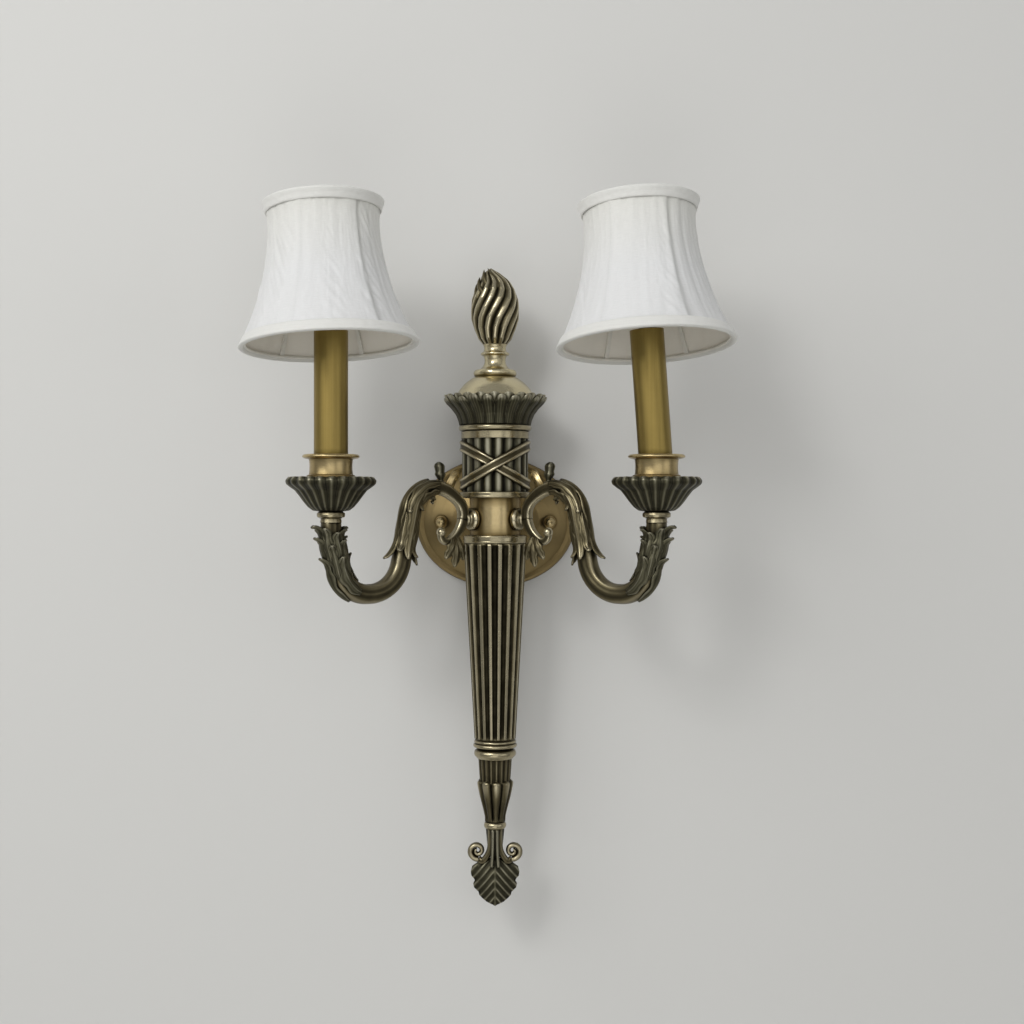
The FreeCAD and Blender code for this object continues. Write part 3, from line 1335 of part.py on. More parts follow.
def make_shade(side, name):
    make_clip(side, name)
    frame = shade_frame(side, name)
    fabric, tall = float(S.shade_fabric), float(S.shade_height)
    cover = shade_band(0, -fabric).revolve(ORIGIN, Z_AXIS, 360)
    solid_node(f"{name}_shade_cover", cover, frame)
    skin, gauge = float(S.skin_gap), float(S.trim_gauge)
    band = float(S.trim_width) / tall
    trims = []
    for low, high in ((0, band), (1 - band, 1)):
        inside = shade_line(low, high, skin, 3)
        outside = shade_line(low, high, skin + gauge, 3)
        trims.append(spun(inside + list(reversed(outside))))
    solid_node(f"{name}_shade_trims", Part.makeCompound(trims), frame)
    wire = float(S.frame_wire_radius)
    rings = []
    for share, step in ((wire * 1.6 / tall, 1), (1 - wire * 1.6 / tall, -1)):
        (radius, height), = shade_line(share, share, 0, 1)[:1]
        tight = min(shade_radius(share - wire / tall), shade_radius(share + wire / tall))
        rings.append((tight - fabric - skin - wire, height))
    pieces = [Part.makeTorus(radius, wire, Vector(0, 0, height)) for radius, height in rings]
    depth = float(S.rib_depth)
    strip = shade_band(-fabric - skin, -fabric - skin - depth)
    width = math.degrees(2 * wire / float(S.shade_waist_radius))
    rib = strip.revolve(ORIGIN, Z_AXIS, width)
    seam = -90 + float(sized(name, "seam_angle")) - width / 2
    pieces += around_z(rib, float(S.frame_ribs), seam)
    inset = float(S.knuckle_width) / 2 + float(S.side_slack)
    clevis, round_radius = float(S.clevis_gauge), float(S.knuckle_radius)
    radius, height = rings[1]
    for turn in (0, 180):
        swing = Placement(ORIGIN, Rotation(Z_AXIS, turn))
        ear = Part.makeCylinder(round_radius, clevis, Vector(inset, 0, 0), X_AXIS)
        pieces.append(turned_at(swing, ear))
        for spread in (-1, 1):
            angle = math.radians(spread * float(S.spoke_spread))
            start = Vector(inset + clevis / 2, spread * round_radius * 0.8, 0)
            end = Vector(radius * math.cos(angle), radius * math.sin(angle), height)
            spoke = Part.makeCylinder(wire * 0.75, (end - start).Length, start, end - start)
            pieces.append(turned_at(swing, spoke))
    pin = float(S.pin_radius)
    hole = Part.makeCylinder(pin, 4 * inset + 4 * clevis, Vector(-2 * inset - 2 * clevis, 0, 0),
                             X_AXIS)
    gap = Part.makeCylinder(round_radius * 1.6, 2 * inset, Vector(-inset, 0, 0), X_AXIS)
    solid_node(f"{name}_shade_frame", joined(pieces).cut(hole).cut(gap), frame)
    length = 2 * (inset + clevis)
    rivet = Part.makeCylinder(pin, length, Vector(-length / 2, 0, 0), X_AXIS)
    for end in (-length / 2 - 0.8, length / 2):
        rivet = rivet.fuse(Part.makeCylinder(pin * 1.5, 0.8, Vector(end, 0, 0), X_AXIS))
    solid_node(f"{name}_clip_pin", rivet.removeSplitter(), frame)


def lead_wire(side, name):
    """The lead from a socket down its arm, through the hub and out behind the plate."""
    wire = float(S.wire_radius)
    level, tail_end = float(S.arm_level), float(S.arm_tail_end)
    arm = arm_route()
    join, first = float(S.wire_join_turn), float(S.scroll_top_radius)
    heading = math.radians(float(S.scroll_heading) - join)
    start_angle = math.radians(float(S.scroll_heading))
    centre = Vector(float(S.scroll_start) + first * math.sin(start_angle), 0,
                    level - first * math.cos(start_angle))
    meet = centre + Vector(-math.sin(heading), 0, math.cos(heading)) * first
    bend = (meet.z - level) / (1 - math.cos(heading))
    lead = Path(tail_end, level, 0)
    lead.line(meet.x - bend * math.sin(heading) - tail_end)
    lead.arc(bend, math.degrees(heading))
    lead.arc(first, -(float(S.scroll_top_turn) - join))
    pieces = swept(lead, [wire] * len(lead.stations))
    pieces += swept(arm, [wire] * len(arm.stations), 1)
    pieces = [turned_at(side_place(side), item) for item in pieces]
    splay = float(S.arm_splay)
    turn = 90 - splay
    tail = side_place(side).multVec(Vector(tail_end, 0, 0))
    hub = Path(tail.x, tail.y, 180 - splay if side > 0 else splay)
    bend = float(S.wire_hub_bend)
    corner = (abs(tail.x) - float(S.wire_offset)) / math.cos(math.radians(splay))
    hub.line(corner - bend * math.tan(math.radians(turn / 2)))
    hub.arc(bend, -side * turn)
    hub.line(-float(S.bar_gauge) / 2 - hub.spot.z)
    flat = Placement(Vector(0, 0, level), Rotation(X_AXIS, -90))
    pieces += [turned_at(flat, item) for item in swept(hub, [wire] * len(hub.stations))]
    foot, top = candle_spot(side, S.candle_base), bulb_frame(side, name)
    pieces.append(Part.makeCylinder(wire, (top.Base - foot).Length, foot))
    pieces.append(Part.makeSphere(wire, top.Base))
    pieces.append(turned_at(top, Part.makeCylinder(wire, float(SOCKET_FOOT + S.socket_well))))
    return joined(pieces)


make_plate()
make_bar()
make_plate_fasteners()
make_hub_fasteners()
make_arms()
make_arm_nuts()
for candle_side, candle_name in SIDES:
    make_candle_end(candle_side, candle_name)
    make_bulb(candle_side, candle_name)
    make_shade(candle_side, candle_name)
make_candle_fittings()
solid_node("lead_wires", Part.makeCompound([lead_wire(side, name) for side, name in SIDES]))


def finish():
    doc.recompute()
    for item in doc.Objects:
        if any(word in item.State for word in ("Invalid", "Error")):
            raise RuntimeError(f"{item.Label} failed: {item.State}")
    for node in NODES:
        shape = node.Shape
        if shape.isNull() or not shape.isValid():
            raise RuntimeError(f"{node.Label} has no valid shape")
        shape.exportStep(f"parts/{node.Label}.step")
    print(f"{len(NODES)} pieces")


finish()
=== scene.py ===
import bmesh
import bpy
import json
import math
from mathutils import Matrix, Vector, noise


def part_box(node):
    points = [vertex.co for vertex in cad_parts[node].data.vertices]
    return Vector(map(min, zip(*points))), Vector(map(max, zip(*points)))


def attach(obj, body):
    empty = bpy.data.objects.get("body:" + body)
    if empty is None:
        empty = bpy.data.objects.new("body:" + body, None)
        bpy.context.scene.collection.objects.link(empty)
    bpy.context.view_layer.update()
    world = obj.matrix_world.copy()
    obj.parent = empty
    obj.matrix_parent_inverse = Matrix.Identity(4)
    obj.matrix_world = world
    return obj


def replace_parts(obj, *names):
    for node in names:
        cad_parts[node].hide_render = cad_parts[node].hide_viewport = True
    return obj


# The looks of a double arm wall sconce. Lengths are millimetres until a mesh is made.
# The column's axis and the candles' axes come from the frame's boxes.

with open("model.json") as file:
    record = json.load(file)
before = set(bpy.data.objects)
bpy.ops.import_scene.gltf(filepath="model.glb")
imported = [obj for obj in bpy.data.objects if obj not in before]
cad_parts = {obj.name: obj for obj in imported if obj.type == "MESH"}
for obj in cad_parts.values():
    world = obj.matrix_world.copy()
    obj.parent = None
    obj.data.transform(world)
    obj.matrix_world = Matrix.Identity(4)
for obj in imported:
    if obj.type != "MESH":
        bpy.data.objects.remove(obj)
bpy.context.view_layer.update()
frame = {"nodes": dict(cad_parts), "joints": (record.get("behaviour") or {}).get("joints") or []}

MM = 0.001
SIDES = ((-1, "left"), (1, "right"))
UP = Vector((0, 0, 1))
FRONT = Vector((0, -1, 0))


def ends(node):
    """The low and high corners of a piece's box, in millimetres."""
    low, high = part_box(node)
    return low / MM, high / MM


def centre_of(node):
    low, high = ends(node)
    return (low + high) / 2


COLUMN = Vector((0, centre_of("shaft_collar").y, 0))


def blend_values(stops, share):
    """The value at a share, in a straight line between (share, value) stops."""
    for (low, one), (high, two) in zip(stops, stops[1:]):
        if share <= high:
            t = (share - low) / (high - low)
            return one + (two - one) * t
    return stops[-1][1]


def smooth(t):
    """Eases from 0 to 1, and stays there outside that range."""
    t = max(0.0, min(1.0, t))
    return t * t * (3 - 2 * t)


def between(corners, share):
    """The point at a share of the way along a row of corners that are evenly shared out."""
    place = share * (len(corners) - 1)
    i = min(int(place), len(corners) - 2)
    t = place - i
    return [a * (1 - t) + b * t for a, b in zip(corners[i], corners[i + 1])]


def curve(corners, v):
    """A point on the curve between two ends that leans towards a middle corner."""
    start, middle, end = corners
    return start * (1 - v) ** 2 + middle * 2 * v * (1 - v) + end * v * v


# Mesh making

def grid_piece(name, rows, cols, point, body, material, round_u=True, caps=False, thick=0.0):
    """A mesh of rows by cols. point(u, v) gives a place in millimetres and its relief, from 0 in a
    recess to 1 on a ridge, which sets its colour; on some pieces it also carries painted shade and
    painted highlight. u runs round and v runs along."""
    verts, relief, faces, uvs = [], [], [], []
    wide = cols if round_u else cols + 1
    for row in range(rows + 1):
        for col in range(wide):
            place, shade = point(col / cols, row / rows)
            verts.append(Vector(place) * MM)
            relief.append(shade)
    for row in range(rows):
        for col in range(cols):
            nxt = (col + 1) % wide
            faces.append((row * wide + col, row * wide + nxt,
                          (row + 1) * wide + nxt, (row + 1) * wide + col))
            uvs += [(col / cols, row / rows), ((col + 1) / cols, row / rows),
                    ((col + 1) / cols, (row + 1) / rows), (col / cols, (row + 1) / rows)]
    if caps:
        for start in (0, rows * wide):
            ring = list(range(start, start + wide))
            middle = sum((verts[i] for i in ring), Vector()) / wide
            verts.append(middle)
            relief.append(relief[start])
            for i in range(wide):
                faces.append((ring[i], ring[(i + 1) % wide], len(verts) - 1))
                uvs += [(0, 0), (1, 0), (0.5, 1)]
    mesh = bpy.data.meshes.new(name)
    mesh.from_pydata(verts, [], faces)
    layer = mesh.uv_layers.new(name="UVMap")
    for loop, uv in zip(layer.data, uvs):
        loop.uv = uv
    mesh.attributes.new("relief", "FLOAT", "POINT").data.foreach_set("value", relief)
    return add_piece(name, mesh, body, material, thick)


def add_piece(name, mesh, body, material, thick=0.0):
    work = bmesh.new()
    work.from_mesh(mesh)
    bmesh.ops.recalc_face_normals(work, faces=work.faces)
    work.to_mesh(mesh)
    work.free()
    mesh.shade_smooth()
    mesh.materials.append(material)
    piece = bpy.data.objects.new(name, mesh)
    bpy.context.scene.collection.objects.link(piece)
    if thick:
        shell = piece.modifiers.new("thickness", "SOLIDIFY")
        shell.thickness = thick * MM
        shell.offset = 0
        shell.use_even_offset = False
    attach(piece, body)
    return piece


def merge(name, pieces):
    """Joins pieces that are one casting into one object under the first one's name."""
    for piece in pieces:
        for change in list(piece.modifiers):
            with bpy.context.temp_override(object=piece, active_object=piece):
                bpy.ops.object.modifier_apply(modifier=change.name)
    with bpy.context.temp_override(active_object=pieces[0], selected_editable_objects=pieces,
                                   selected_objects=pieces, object=pieces[0]):
        bpy.ops.object.join()
    pieces[0].name = name
    pieces[0].data.name = name
    return pieces[0]


def ring_point(centre, radius, angle, height):
    return (centre.x + radius * math.cos(angle), centre.y + radius * math.sin(angle), height)


def lathe(name, centre, base, outline, material, cols=96, relief=None):
    """A turned piece. outline is a list of (radius, height) corners, softened a little."""
    fine, steps = [], 6
    for (r1, z1), (r2, z2) in zip(outline, outline[1:]):
        for i in range(steps):
            fine.append((r1 + (r2 - r1) * i / steps, z1 + (z2 - z1) * i / steps))
    fine.append(outline[-1])
    for _ in range(2):
        fine = [fine[0]] + [((a[0] + 2 * b[0] + c[0]) / 4, (a[1] + 2 * b[1] + c[1]) / 4)
                            for a, b, c in zip(fine, fine[1:], fine[2:])] + [fine[-1]]
    rows = len(fine) - 1
    widest = max(r for r, _ in fine)

    def point(u, v):
        radius, height = fine[round(v * rows)]
        shade = 0.45 + 0.55 * radius / widest if relief is None else relief(radius, height)
        return ring_point(centre, radius, 2 * math.pi * u, base + height), shade

    return grid_piece(name, rows, cols, point, "fixture", material)


def swept(name, path, radius, flat, rows, cols, material, section, squeeze=1.0):
    """A bar along path(v). flat is the normal of the plane that the path lies in, and
    section(angle, v) gives a factor on the radius and a relief."""
    def point(u, v):
        step = 0.5 / rows
        here = path(v)
        along = (path(min(1, v + step)) - path(max(0, v - step))).normalized()
        side = along.cross(flat).normalized()
        angle = 2 * math.pi * u
        factor, shade = section(angle, v)
        reach = radius(v) * factor
        return here + side * (math.cos(angle) * reach) + flat * (math.sin(angle) * reach
                                                                 * squeeze), shade

    return grid_piece(name, rows, cols, point, "fixture", material, caps=True)


def blade(name, line, facing, width, material, lobes, notch, cup, rows, cols, thick):
    """A leaf along line(v) whose face looks along facing(v). width(v) is half its width."""
    step, vein = 0.02, 0.35

    def point(u, v):
        t = 2 * u - 1
        along = (line(min(1, v + step)) - line(max(0, v - step))).normalized()
        across = along.cross(facing(v)).normalized()
        normal = across.cross(along).normalized()
        beat = (v * lobes) % 1.0
        half = width(v) * (1 - notch * smooth(abs(2 * beat - 1)) * (1 if v < 0.93 else 0))
        rib = math.exp(-(t / 0.13) ** 2)
        veins = 0.5 + 0.5 * math.cos(2 * math.pi * (2.2 * abs(t) ** 0.8 + 0.4 * v))
        lift = -cup * half * t * t + 0.45 * rib + vein * (veins - 0.5) * (1 - rib)
        # Edges and tip are pale: rubbed wear, and painted highlight.
        worn_and_highlit = smooth((abs(t) - 0.82) * 6) + smooth((v - 0.8) * 4)
        shade = min(1.0, 0.2 + 0.45 * rib + 0.3 * veins * (1 - rib) + 0.3 * worn_and_highlit)
        return line(v) + across * (half * t) + normal * lift, shade

    return grid_piece(name, rows, cols, point, "fixture", material, round_u=False, thick=thick)


# Materials

def add_node(tree, kind, sockets=(), **settings):
    made = tree.nodes.new(kind)
    for key, value in settings.items():
        setattr(made, key, value)
    for key, value in dict(sockets).items():
        made.inputs[key].default_value = value
    return made


def new_material(name):
    made = bpy.data.materials.new(name)
    made.use_nodes = True
    tree = made.node_tree
    shader = tree.nodes["Principled BSDF"]
    return made, tree, shader


def ramp(tree, factor, stops):
    made = add_node(tree, "ShaderNodeValToRGB")
    while len(made.color_ramp.elements) < len(stops):
        made.color_ramp.elements.new(0.5)
    for element, (place, colour) in zip(made.color_ramp.elements, stops):
        element.position = place
        element.color = (*colour, 1)
    tree.links.new(factor, made.inputs["Fac"])
    return made.outputs["Color"]


def maths(tree, kind, one, two, clamp=False):
    made = add_node(tree, "ShaderNodeMath", operation=kind, use_clamp=clamp)
    for socket, item in zip(made.inputs, (one, two)):
        if isinstance(item, (int, float)):
            socket.default_value = item
        else:
            tree.links.new(item, socket)
    return made.outputs[0]


def patina(name, dark, middle, pale, carved=True, shine=(0.5, 0.3), grain=0.12, streak=0.0,
           hollow=5.0):
    """Aged metal: dark in the recesses, from the patina there and from painted shade, since ambient
    occlusion also darkens it wherever other parts stand close; pale on the carved ridges, where
    hands and cloths have rubbed it, which also serves as a painted highlight. shine is the
    roughness of the dark and of the pale parts, hollow how deep the painted shading looks."""
    made, tree, shader = new_material(name)
    link = tree.links.new
    coords = add_node(tree, "ShaderNodeTexCoord")
    mottle = add_node(tree, "ShaderNodeTexNoise", {"Scale": 90.0, "Detail": 6.0, "Roughness": 0.6})
    link(coords.outputs["Object"], mottle.inputs["Vector"])
    # Ambient occlusion paints shade into the colour in hollows, in creases and where separate parts
    # stand close.
    shadow = add_node(tree, "ShaderNodeAmbientOcclusion", {"Distance": hollow * MM}, samples=8)
    occlusion_shading = maths(tree, "POWER", shadow.outputs["AO"], 1.4)
    if carved:
        raised = add_node(tree, "ShaderNodeAttribute", attribute_name="relief")
        tone = maths(tree, "MULTIPLY", raised.outputs["Fac"], occlusion_shading)
    else:
        tone = maths(tree, "MULTIPLY", occlusion_shading, 0.82)
    spots = maths(tree, "MULTIPLY", maths(tree, "SUBTRACT", mottle.outputs["Fac"], 0.5), grain * 2)
    tone = maths(tree, "ADD", tone, spots, clamp=True)
    if streak:
        stretch = add_node(tree, "ShaderNodeMapping", {"Scale": (900, 900, 6)})
        lines = add_node(tree, "ShaderNodeTexNoise", {"Scale": 1.0, "Detail": 3.0})
        link(coords.outputs["Object"], stretch.inputs["Vector"])
        link(stretch.outputs["Vector"], lines.inputs["Vector"])
        brushed = maths(tree, "SUBTRACT", lines.outputs["Fac"], 0.5)
        brushed = maths(tree, "MULTIPLY", brushed, streak)
        tone = maths(tree, "ADD", tone, brushed, clamp=True)
    link(ramp(tree, tone, [(0.0, dark), (0.45, middle), (0.95, pale)]), shader.inputs["Base Color"])
    rough = add_node(tree, "ShaderNodeMapRange", {"To Min": shine[0], "To Max": shine[1]})
    link(tone, rough.inputs["Value"])
    link(rough.outputs["Result"], shader.inputs["Roughness"])
    shader.inputs["Metallic"].default_value = 1.0
    fine = add_node(tree, "ShaderNodeTexNoise", {"Scale": 700.0, "Detail": 4.0})
    bump = add_node(tree, "ShaderNodeBump", {"Strength": 0.12, "Distance": 0.0004})
    link(coords.outputs["Object"], fine.inputs["Vector"])
    link(fine.outputs["Fac"], bump.inputs["Height"])
    link(bump.outputs["Normal"], shader.inputs["Normal"])
    return made


def cloth(name, colour, shade, across, along, slub, upper=(1.0, 1.0, 1.0)):
    """Woven silk: fine threads both ways, with thicker slubs that run round the shade. The relief
    that its mesh carries paints shade along the seams and light on the wrinkles, and upper tints it
    towards the top."""
    made, tree, shader = new_material(name)
    link = tree.links.new
    uv = add_node(tree, "ShaderNodeUVMap", uv_map="UVMap")
    heights = []
    for scale in ((across * 0.05, along, 1), (across, along * 0.1, 1)):
        stretch = add_node(tree, "ShaderNodeMapping", {"Scale": scale})
        threads = add_node(tree, "ShaderNodeTexNoise", {"Scale": 1.0, "Detail": 4.0,
                                                        "Roughness": 0.65})
        link(uv.outputs["UV"], stretch.inputs["Vector"])
        link(stretch.outputs["Vector"], threads.inputs["Vector"])
        heights.append(threads.outputs["Fac"])
    weave = maths(tree, "ADD", maths(tree, "MULTIPLY", heights[0], 0.75),
                  maths(tree, "MULTIPLY", heights[1], 0.25))
    raised = add_node(tree, "ShaderNodeAttribute", attribute_name="relief")
    tone = maths(tree, "MULTIPLY", maths(tree, "SUBTRACT", weave, 0.5), slub * 4)
    tone = maths(tree, "ADD", tone, raised.outputs["Fac"], clamp=True)
    places = add_node(tree, "ShaderNodeSeparateXYZ")
    link(uv.outputs["UV"], places.inputs["Vector"])
    tint = add_node(tree, "ShaderNodeMix", {"Factor": 1.0}, data_type="RGBA", blend_type="MULTIPLY")
    link(ramp(tree, tone, [(0.0, shade), (1.0, colour)]), tint.inputs[6])
    link(ramp(tree, places.outputs["Y"], [(0.45, (1, 1, 1)), (1.0, upper)]), tint.inputs[7])
    link(tint.outputs[2], shader.inputs["Base Color"])
    bump = add_node(tree, "ShaderNodeBump", {"Strength": 0.35, "Distance": 0.0005})
    link(weave, bump.inputs["Height"])
    link(bump.outputs["Normal"], shader.inputs["Normal"])
    shader.inputs["Roughness"].default_value = 0.8
    shader.inputs["Sheen Weight"].default_value = 0.3
    return made


def plain(name, colour, rough, metal=0.0, grain=0.06, transmission=0.0):
    """One colour, a little uneven."""
    made, tree, shader = new_material(name)
    coords = add_node(tree, "ShaderNodeTexCoord")
    spots = add_node(tree, "ShaderNodeTexNoise", {"Scale": 160.0, "Detail": 4.0})
    tree.links.new(coords.outputs["Object"], spots.inputs["Vector"])
    dim = tuple(c * (1 - grain) for c in colour)
    lit = tuple(min(1.0, c * (1 + grain)) for c in colour)
    tree.links.new(ramp(tree, spots.outputs["Fac"], [(0.3, dim), (0.7, lit)]),
                   shader.inputs["Base Color"])
    shader.inputs["Roughness"].default_value = rough
    shader.inputs["Metallic"].default_value = metal
    shader.inputs["Transmission Weight"].default_value = transmission
    return made


BRONZE = patina("bronze", (0.014, 0.012, 0.007), (0.135, 0.114, 0.064), (0.57, 0.505, 0.345),
                shine=(0.48, 0.22))
BRONZE_DARK = patina("bronze_dark", (0.014, 0.013, 0.009), (0.105, 0.098, 0.062),
                     (0.47, 0.44, 0.33), shine=(0.5, 0.3))
TURNED = patina("bronze_turned", (0.012, 0.011, 0.006), (0.14, 0.117, 0.066), (0.48, 0.42, 0.275),
                carved=False, shine=(0.42, 0.2), grain=0.12, hollow=8.0)
BRASS = patina("brass", (0.03, 0.022, 0.010), (0.24, 0.175, 0.075), (0.66, 0.525, 0.28),
               carved=False, shine=(0.42, 0.22), grain=0.1, hollow=9.0)
# A paler brass for the dome and the finial's stem, painted pale to stand for their bright
# highlights.
PALE_BRASS = patina("brass_painted_highlight", (0.05, 0.04, 0.018), (0.36, 0.30, 0.165), (0.76, 0.68, 0.46),
                    carved=False, shine=(0.4, 0.2), grain=0.1, hollow=6.0)
# The plate's long occlusion reach paints shade on it where the hub, the nuts and the arms stand
# close in front.
PLATE = patina("brass_plate", (0.025, 0.017, 0.007), (0.14, 0.10, 0.042), (0.30, 0.225, 0.105),
               carved=False, shine=(0.5, 0.33), grain=0.12, hollow=14.0)
BRASS_TUBE = patina("brass_tube", (0.04, 0.028, 0.010), (0.18, 0.13, 0.036), (0.32, 0.235, 0.074),
                    carved=False, shine=(0.5, 0.36), grain=0.08, streak=0.25)
SILK = cloth("shade_silk", (0.79, 0.79, 0.785), (0.40, 0.40, 0.385), 900, 260, slub=0.14,
             upper=(0.985, 0.975, 0.915))
BINDING = cloth("shade_binding", (0.76, 0.755, 0.72), (0.48, 0.475, 0.44), 500, 30, slub=0.14)
# The lining is paler and warmer than the cover: partly its own silk, partly painted light for what
# shines through the cover.
LINING = cloth("shade_lining", (0.90, 0.865, 0.79), (0.62, 0.58, 0.50), 900, 260, slub=0.08)
ENAMEL = plain("frame_enamel", (0.74, 0.72, 0.66), 0.45)
STEEL = plain("plated_steel", (0.55, 0.53, 0.48), 0.38, metal=1.0)
NICKEL = plain("contact_nickel", (0.62, 0.60, 0.55), 0.3, metal=1.0)
PHENOLIC = plain("socket_black", (0.02, 0.02, 0.02), 0.5)
WIRE = plain("wire_ivory", (0.72, 0.68, 0.58), 0.5)
FROST = plain("bulb_frost", (0.92, 0.91, 0.88), 0.35, transmission=0.25, grain=0.02)


def dress_cad_nodes():
    """The finish of every carried-over piece, by the words in its name."""
    finishes = ((ENAMEL, ("shade_frame",)), (FROST, ("bulb_glass",)), (WIRE, ("lead_wires",)),
                (NICKEL, ("bulb_cap", "contact", "screw_shell")),
                (PHENOLIC, ("left_socket", "right_socket")), (BRASS_TUBE, ("candle_sleeve",)),
                (PLATE, ("back_plate",)), (BRASS, ("candle_cup", "ball_nuts", "hub_body")),
                (TURNED, ("pan_collar", "hub_lid", "hub_neck", "block_rings", "shaft_collar",
                          "double_ring", "tip_bead")),
                (PALE_BRASS, ("crown_dome", "finial_stem")),
                (STEEL, ("socket_stem", "clip", "crossbar", "stud", "nut", "nipple", "rod")))
    for name, node in frame["nodes"].items():
        found = next((item for item, words in finishes if any(word in name for word in words)),
                     BRONZE)
        node.data.materials.clear()
        node.data.materials.append(found)


# Column. Angles go round from the right, so -90 degrees is at the front.

FRONT_ANGLE = math.radians(-90)
BARREL_TURN, SHAFT_TURN, CUP_TURN = (math.radians(turn) for turn in (-93, -80, -84))
CROWN_LEAVES = 22
REEDS, FLUTES, GADROONS = 18, 18, 9
FACETS = 18  # columns of the mesh to each ridge, reed or flute


def flame():
    """Twisted ridges that run up to a leaning tip, with loose tongues at the left."""
    low, high = ends("flame_finial")
    radius, ridges, twist = (high.x - low.x) / 2, 14, 50.0
    base = ends("finial_stem")[1].z
    height = high.z - base
    widths = [(0.0, 0.50), (0.07, 0.69), (0.20, 0.86), (0.33, 0.97), (0.46, 1.0), (0.59, 0.955),
              (0.72, 0.82), (0.855, 0.56), (0.94, 0.32), (1.0, 0.03)]
    turns = [(0.0, 0.0), (0.1, 0.01), (0.2, 0.06), (0.33, 0.24), (0.46, 0.52), (0.59, 0.80),
             (0.70, 0.97), (0.79, 1.0), (0.88, 0.88), (1.0, 0.55)]

    def point(u, v):
        wide = blend_values(widths, v) * radius
        angle = 2 * math.pi * u
        crest = abs(math.cos(0.5 * ridges * angle)) ** 0.9
        depth = 2.3 * min(1.0, wide / radius * 1.2) * (0.4 + 0.6 * smooth(v * 8))
        spin = angle + math.radians(blend_values(turns, v) * twist) + FRONT_ANGLE
        lean = -3.2 * smooth((v - 0.8) * 5)
        reach = wide - depth * (1 - crest)
        return (COLUMN.x + reach * math.cos(spin) + lean, COLUMN.y + reach * math.sin(spin),
                base + v * height), 0.98 * crest ** 1.7

    parts = [grid_piece("flame", 120, ridges * FACETS, point, "fixture", BRONZE, caps=True)]
    tongues = [((-3.0, -9.5, 41), (-9.5, -7, 49), (-8.3, -4.5, 57.0), 3.2),
               ((-8.5, -9.0, 38), (-13.5, -6, 45), (-11.6, -4.0, 51.2), 3.0),
               ((-12.0, -6.0, 33), (-15.3, -3, 41), (-13.6, -2.0, 47.0), 2.8),
               ((3.0, -9.5, 42), (-1.5, -8, 51), (-5.6, -3.5, 58.2), 3.0),
               ((-6.0, 8.0, 38), (-12.0, 6.0, 47), (-9.5, 3.0, 54.0), 3.0),
               ((4.0, 9.0, 40), (0.0, 7.5, 50), (-4.0, 3.0, 57.0), 3.0)]
    for i, (start, middle, tip, thick) in enumerate(tongues):
        corners = [COLUMN + Vector(spot) + UP * base for spot in (start, middle, tip)]

        def path(v, corners=corners):
            return curve(corners, v)

        parts.append(swept(f"flame_tongue_{i}", path, lambda v, t=thick: t * (1 - v ** 1.6) + 0.12,
                           FRONT, 20, 14, BRONZE, squeeze=1.15,
                           section=lambda a, v: (1, 0.35 + 0.65 * (0.5 - 0.5 * math.sin(a)))))
    made = merge("flame_finial_carved", parts)
    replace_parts(made, "flame_finial")


def leaf_ring(name, centre, base, outline, leaves, puff, scallop, start=FRONT_ANGLE,
              thick=2.2, veins=3, lip=0.0, uneven=0.0):
    """A ring of upright leaves on a flared wall: outline is (share, radius, height). puff is
    how far each leaf swells, scallop how low the notches go, and lip smooths the rim."""
    radii = [(share, radius) for share, radius, _ in outline]
    heights = [(share, height) for share, _, height in outline]
    rows, cols = 40, 14

    def point(u, v):
        beat = (u * leaves) % 1.0
        t = 2 * beat - 1
        round_leaf = 1 - abs(t) ** 2.1
        fluted = 0.5 + 0.5 * math.cos(math.pi * veins * t)
        spread = smooth(v * 1.2) * (1 - lip * smooth((v - 0.8) * 6))
        reach = blend_values(radii, v) + puff * (round_leaf - 0.6) * (0.35 + 0.65 * spread)
        reach += 0.45 * (fluted - 0.5) * round_leaf
        short = uneven * (0.5 + 0.5 * math.sin(math.floor(u * leaves) * 2.4)) * round_leaf
        tip = (scallop * (1 - round_leaf) + short) * smooth((v - 0.72) / 0.28)
        reach -= tip * 0.6
        height = blend_values(heights, v) - tip
        angle = 2 * math.pi * u + start
        # The leaves' upper ends are pale: rubbed wear, and painted highlight.
        worn_and_highlit = smooth((v - 0.8) * 5)
        shade = round_leaf * (0.16 + 0.4 * fluted) + 0.5 * worn_and_highlit * round_leaf + 0.12 * worn_and_highlit
        return ring_point(centre, reach, angle, base + height), min(1.0, shade)

    return grid_piece(name, rows, leaves * cols, point, "fixture", BRONZE_DARK, thick=thick)


def crown():
    """Two rings of leaves, one in the gaps of the other, round a turned floor."""
    low, high = ends("leaf_crown")
    reach = (high.x - low.x) / 2
    profile = [(0.0, 0.67, 0.3), (0.2, 0.69, 4.0), (0.4, 0.735, 8.5), (0.6, 0.81, 12.7),
               (0.8, 0.915, 17.0), (0.93, 0.975, 20.4), (1.0, 0.985, 22.4)]
    outline = [(share, reach * wide, height) for share, wide, height in profile]
    front = leaf_ring("crown_leaves", COLUMN, low.z, outline, CROWN_LEAVES, 1.6, 6.4,
                      veins=5, thick=1.6, uneven=1.8)
    behind = [(s, r - 1.1, h + 0.9 * s) for s, r, h in outline]
    back = leaf_ring("crown_back_leaves", COLUMN, low.z, behind, CROWN_LEAVES, 1.0, 3.4,
                     start=FRONT_ANGLE + math.pi / CROWN_LEAVES)
    floor = lathe("crown_floor", COLUMN, low.z, [(6, 3), (22, 3), (26, 6), (28, 12), (31.5, 17.0),
                                                (24, 19.0), (6, 19.5)], BRONZE_DARK)
    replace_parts(merge("leaf_crown_carved", [front, back, floor]), "leaf_crown")


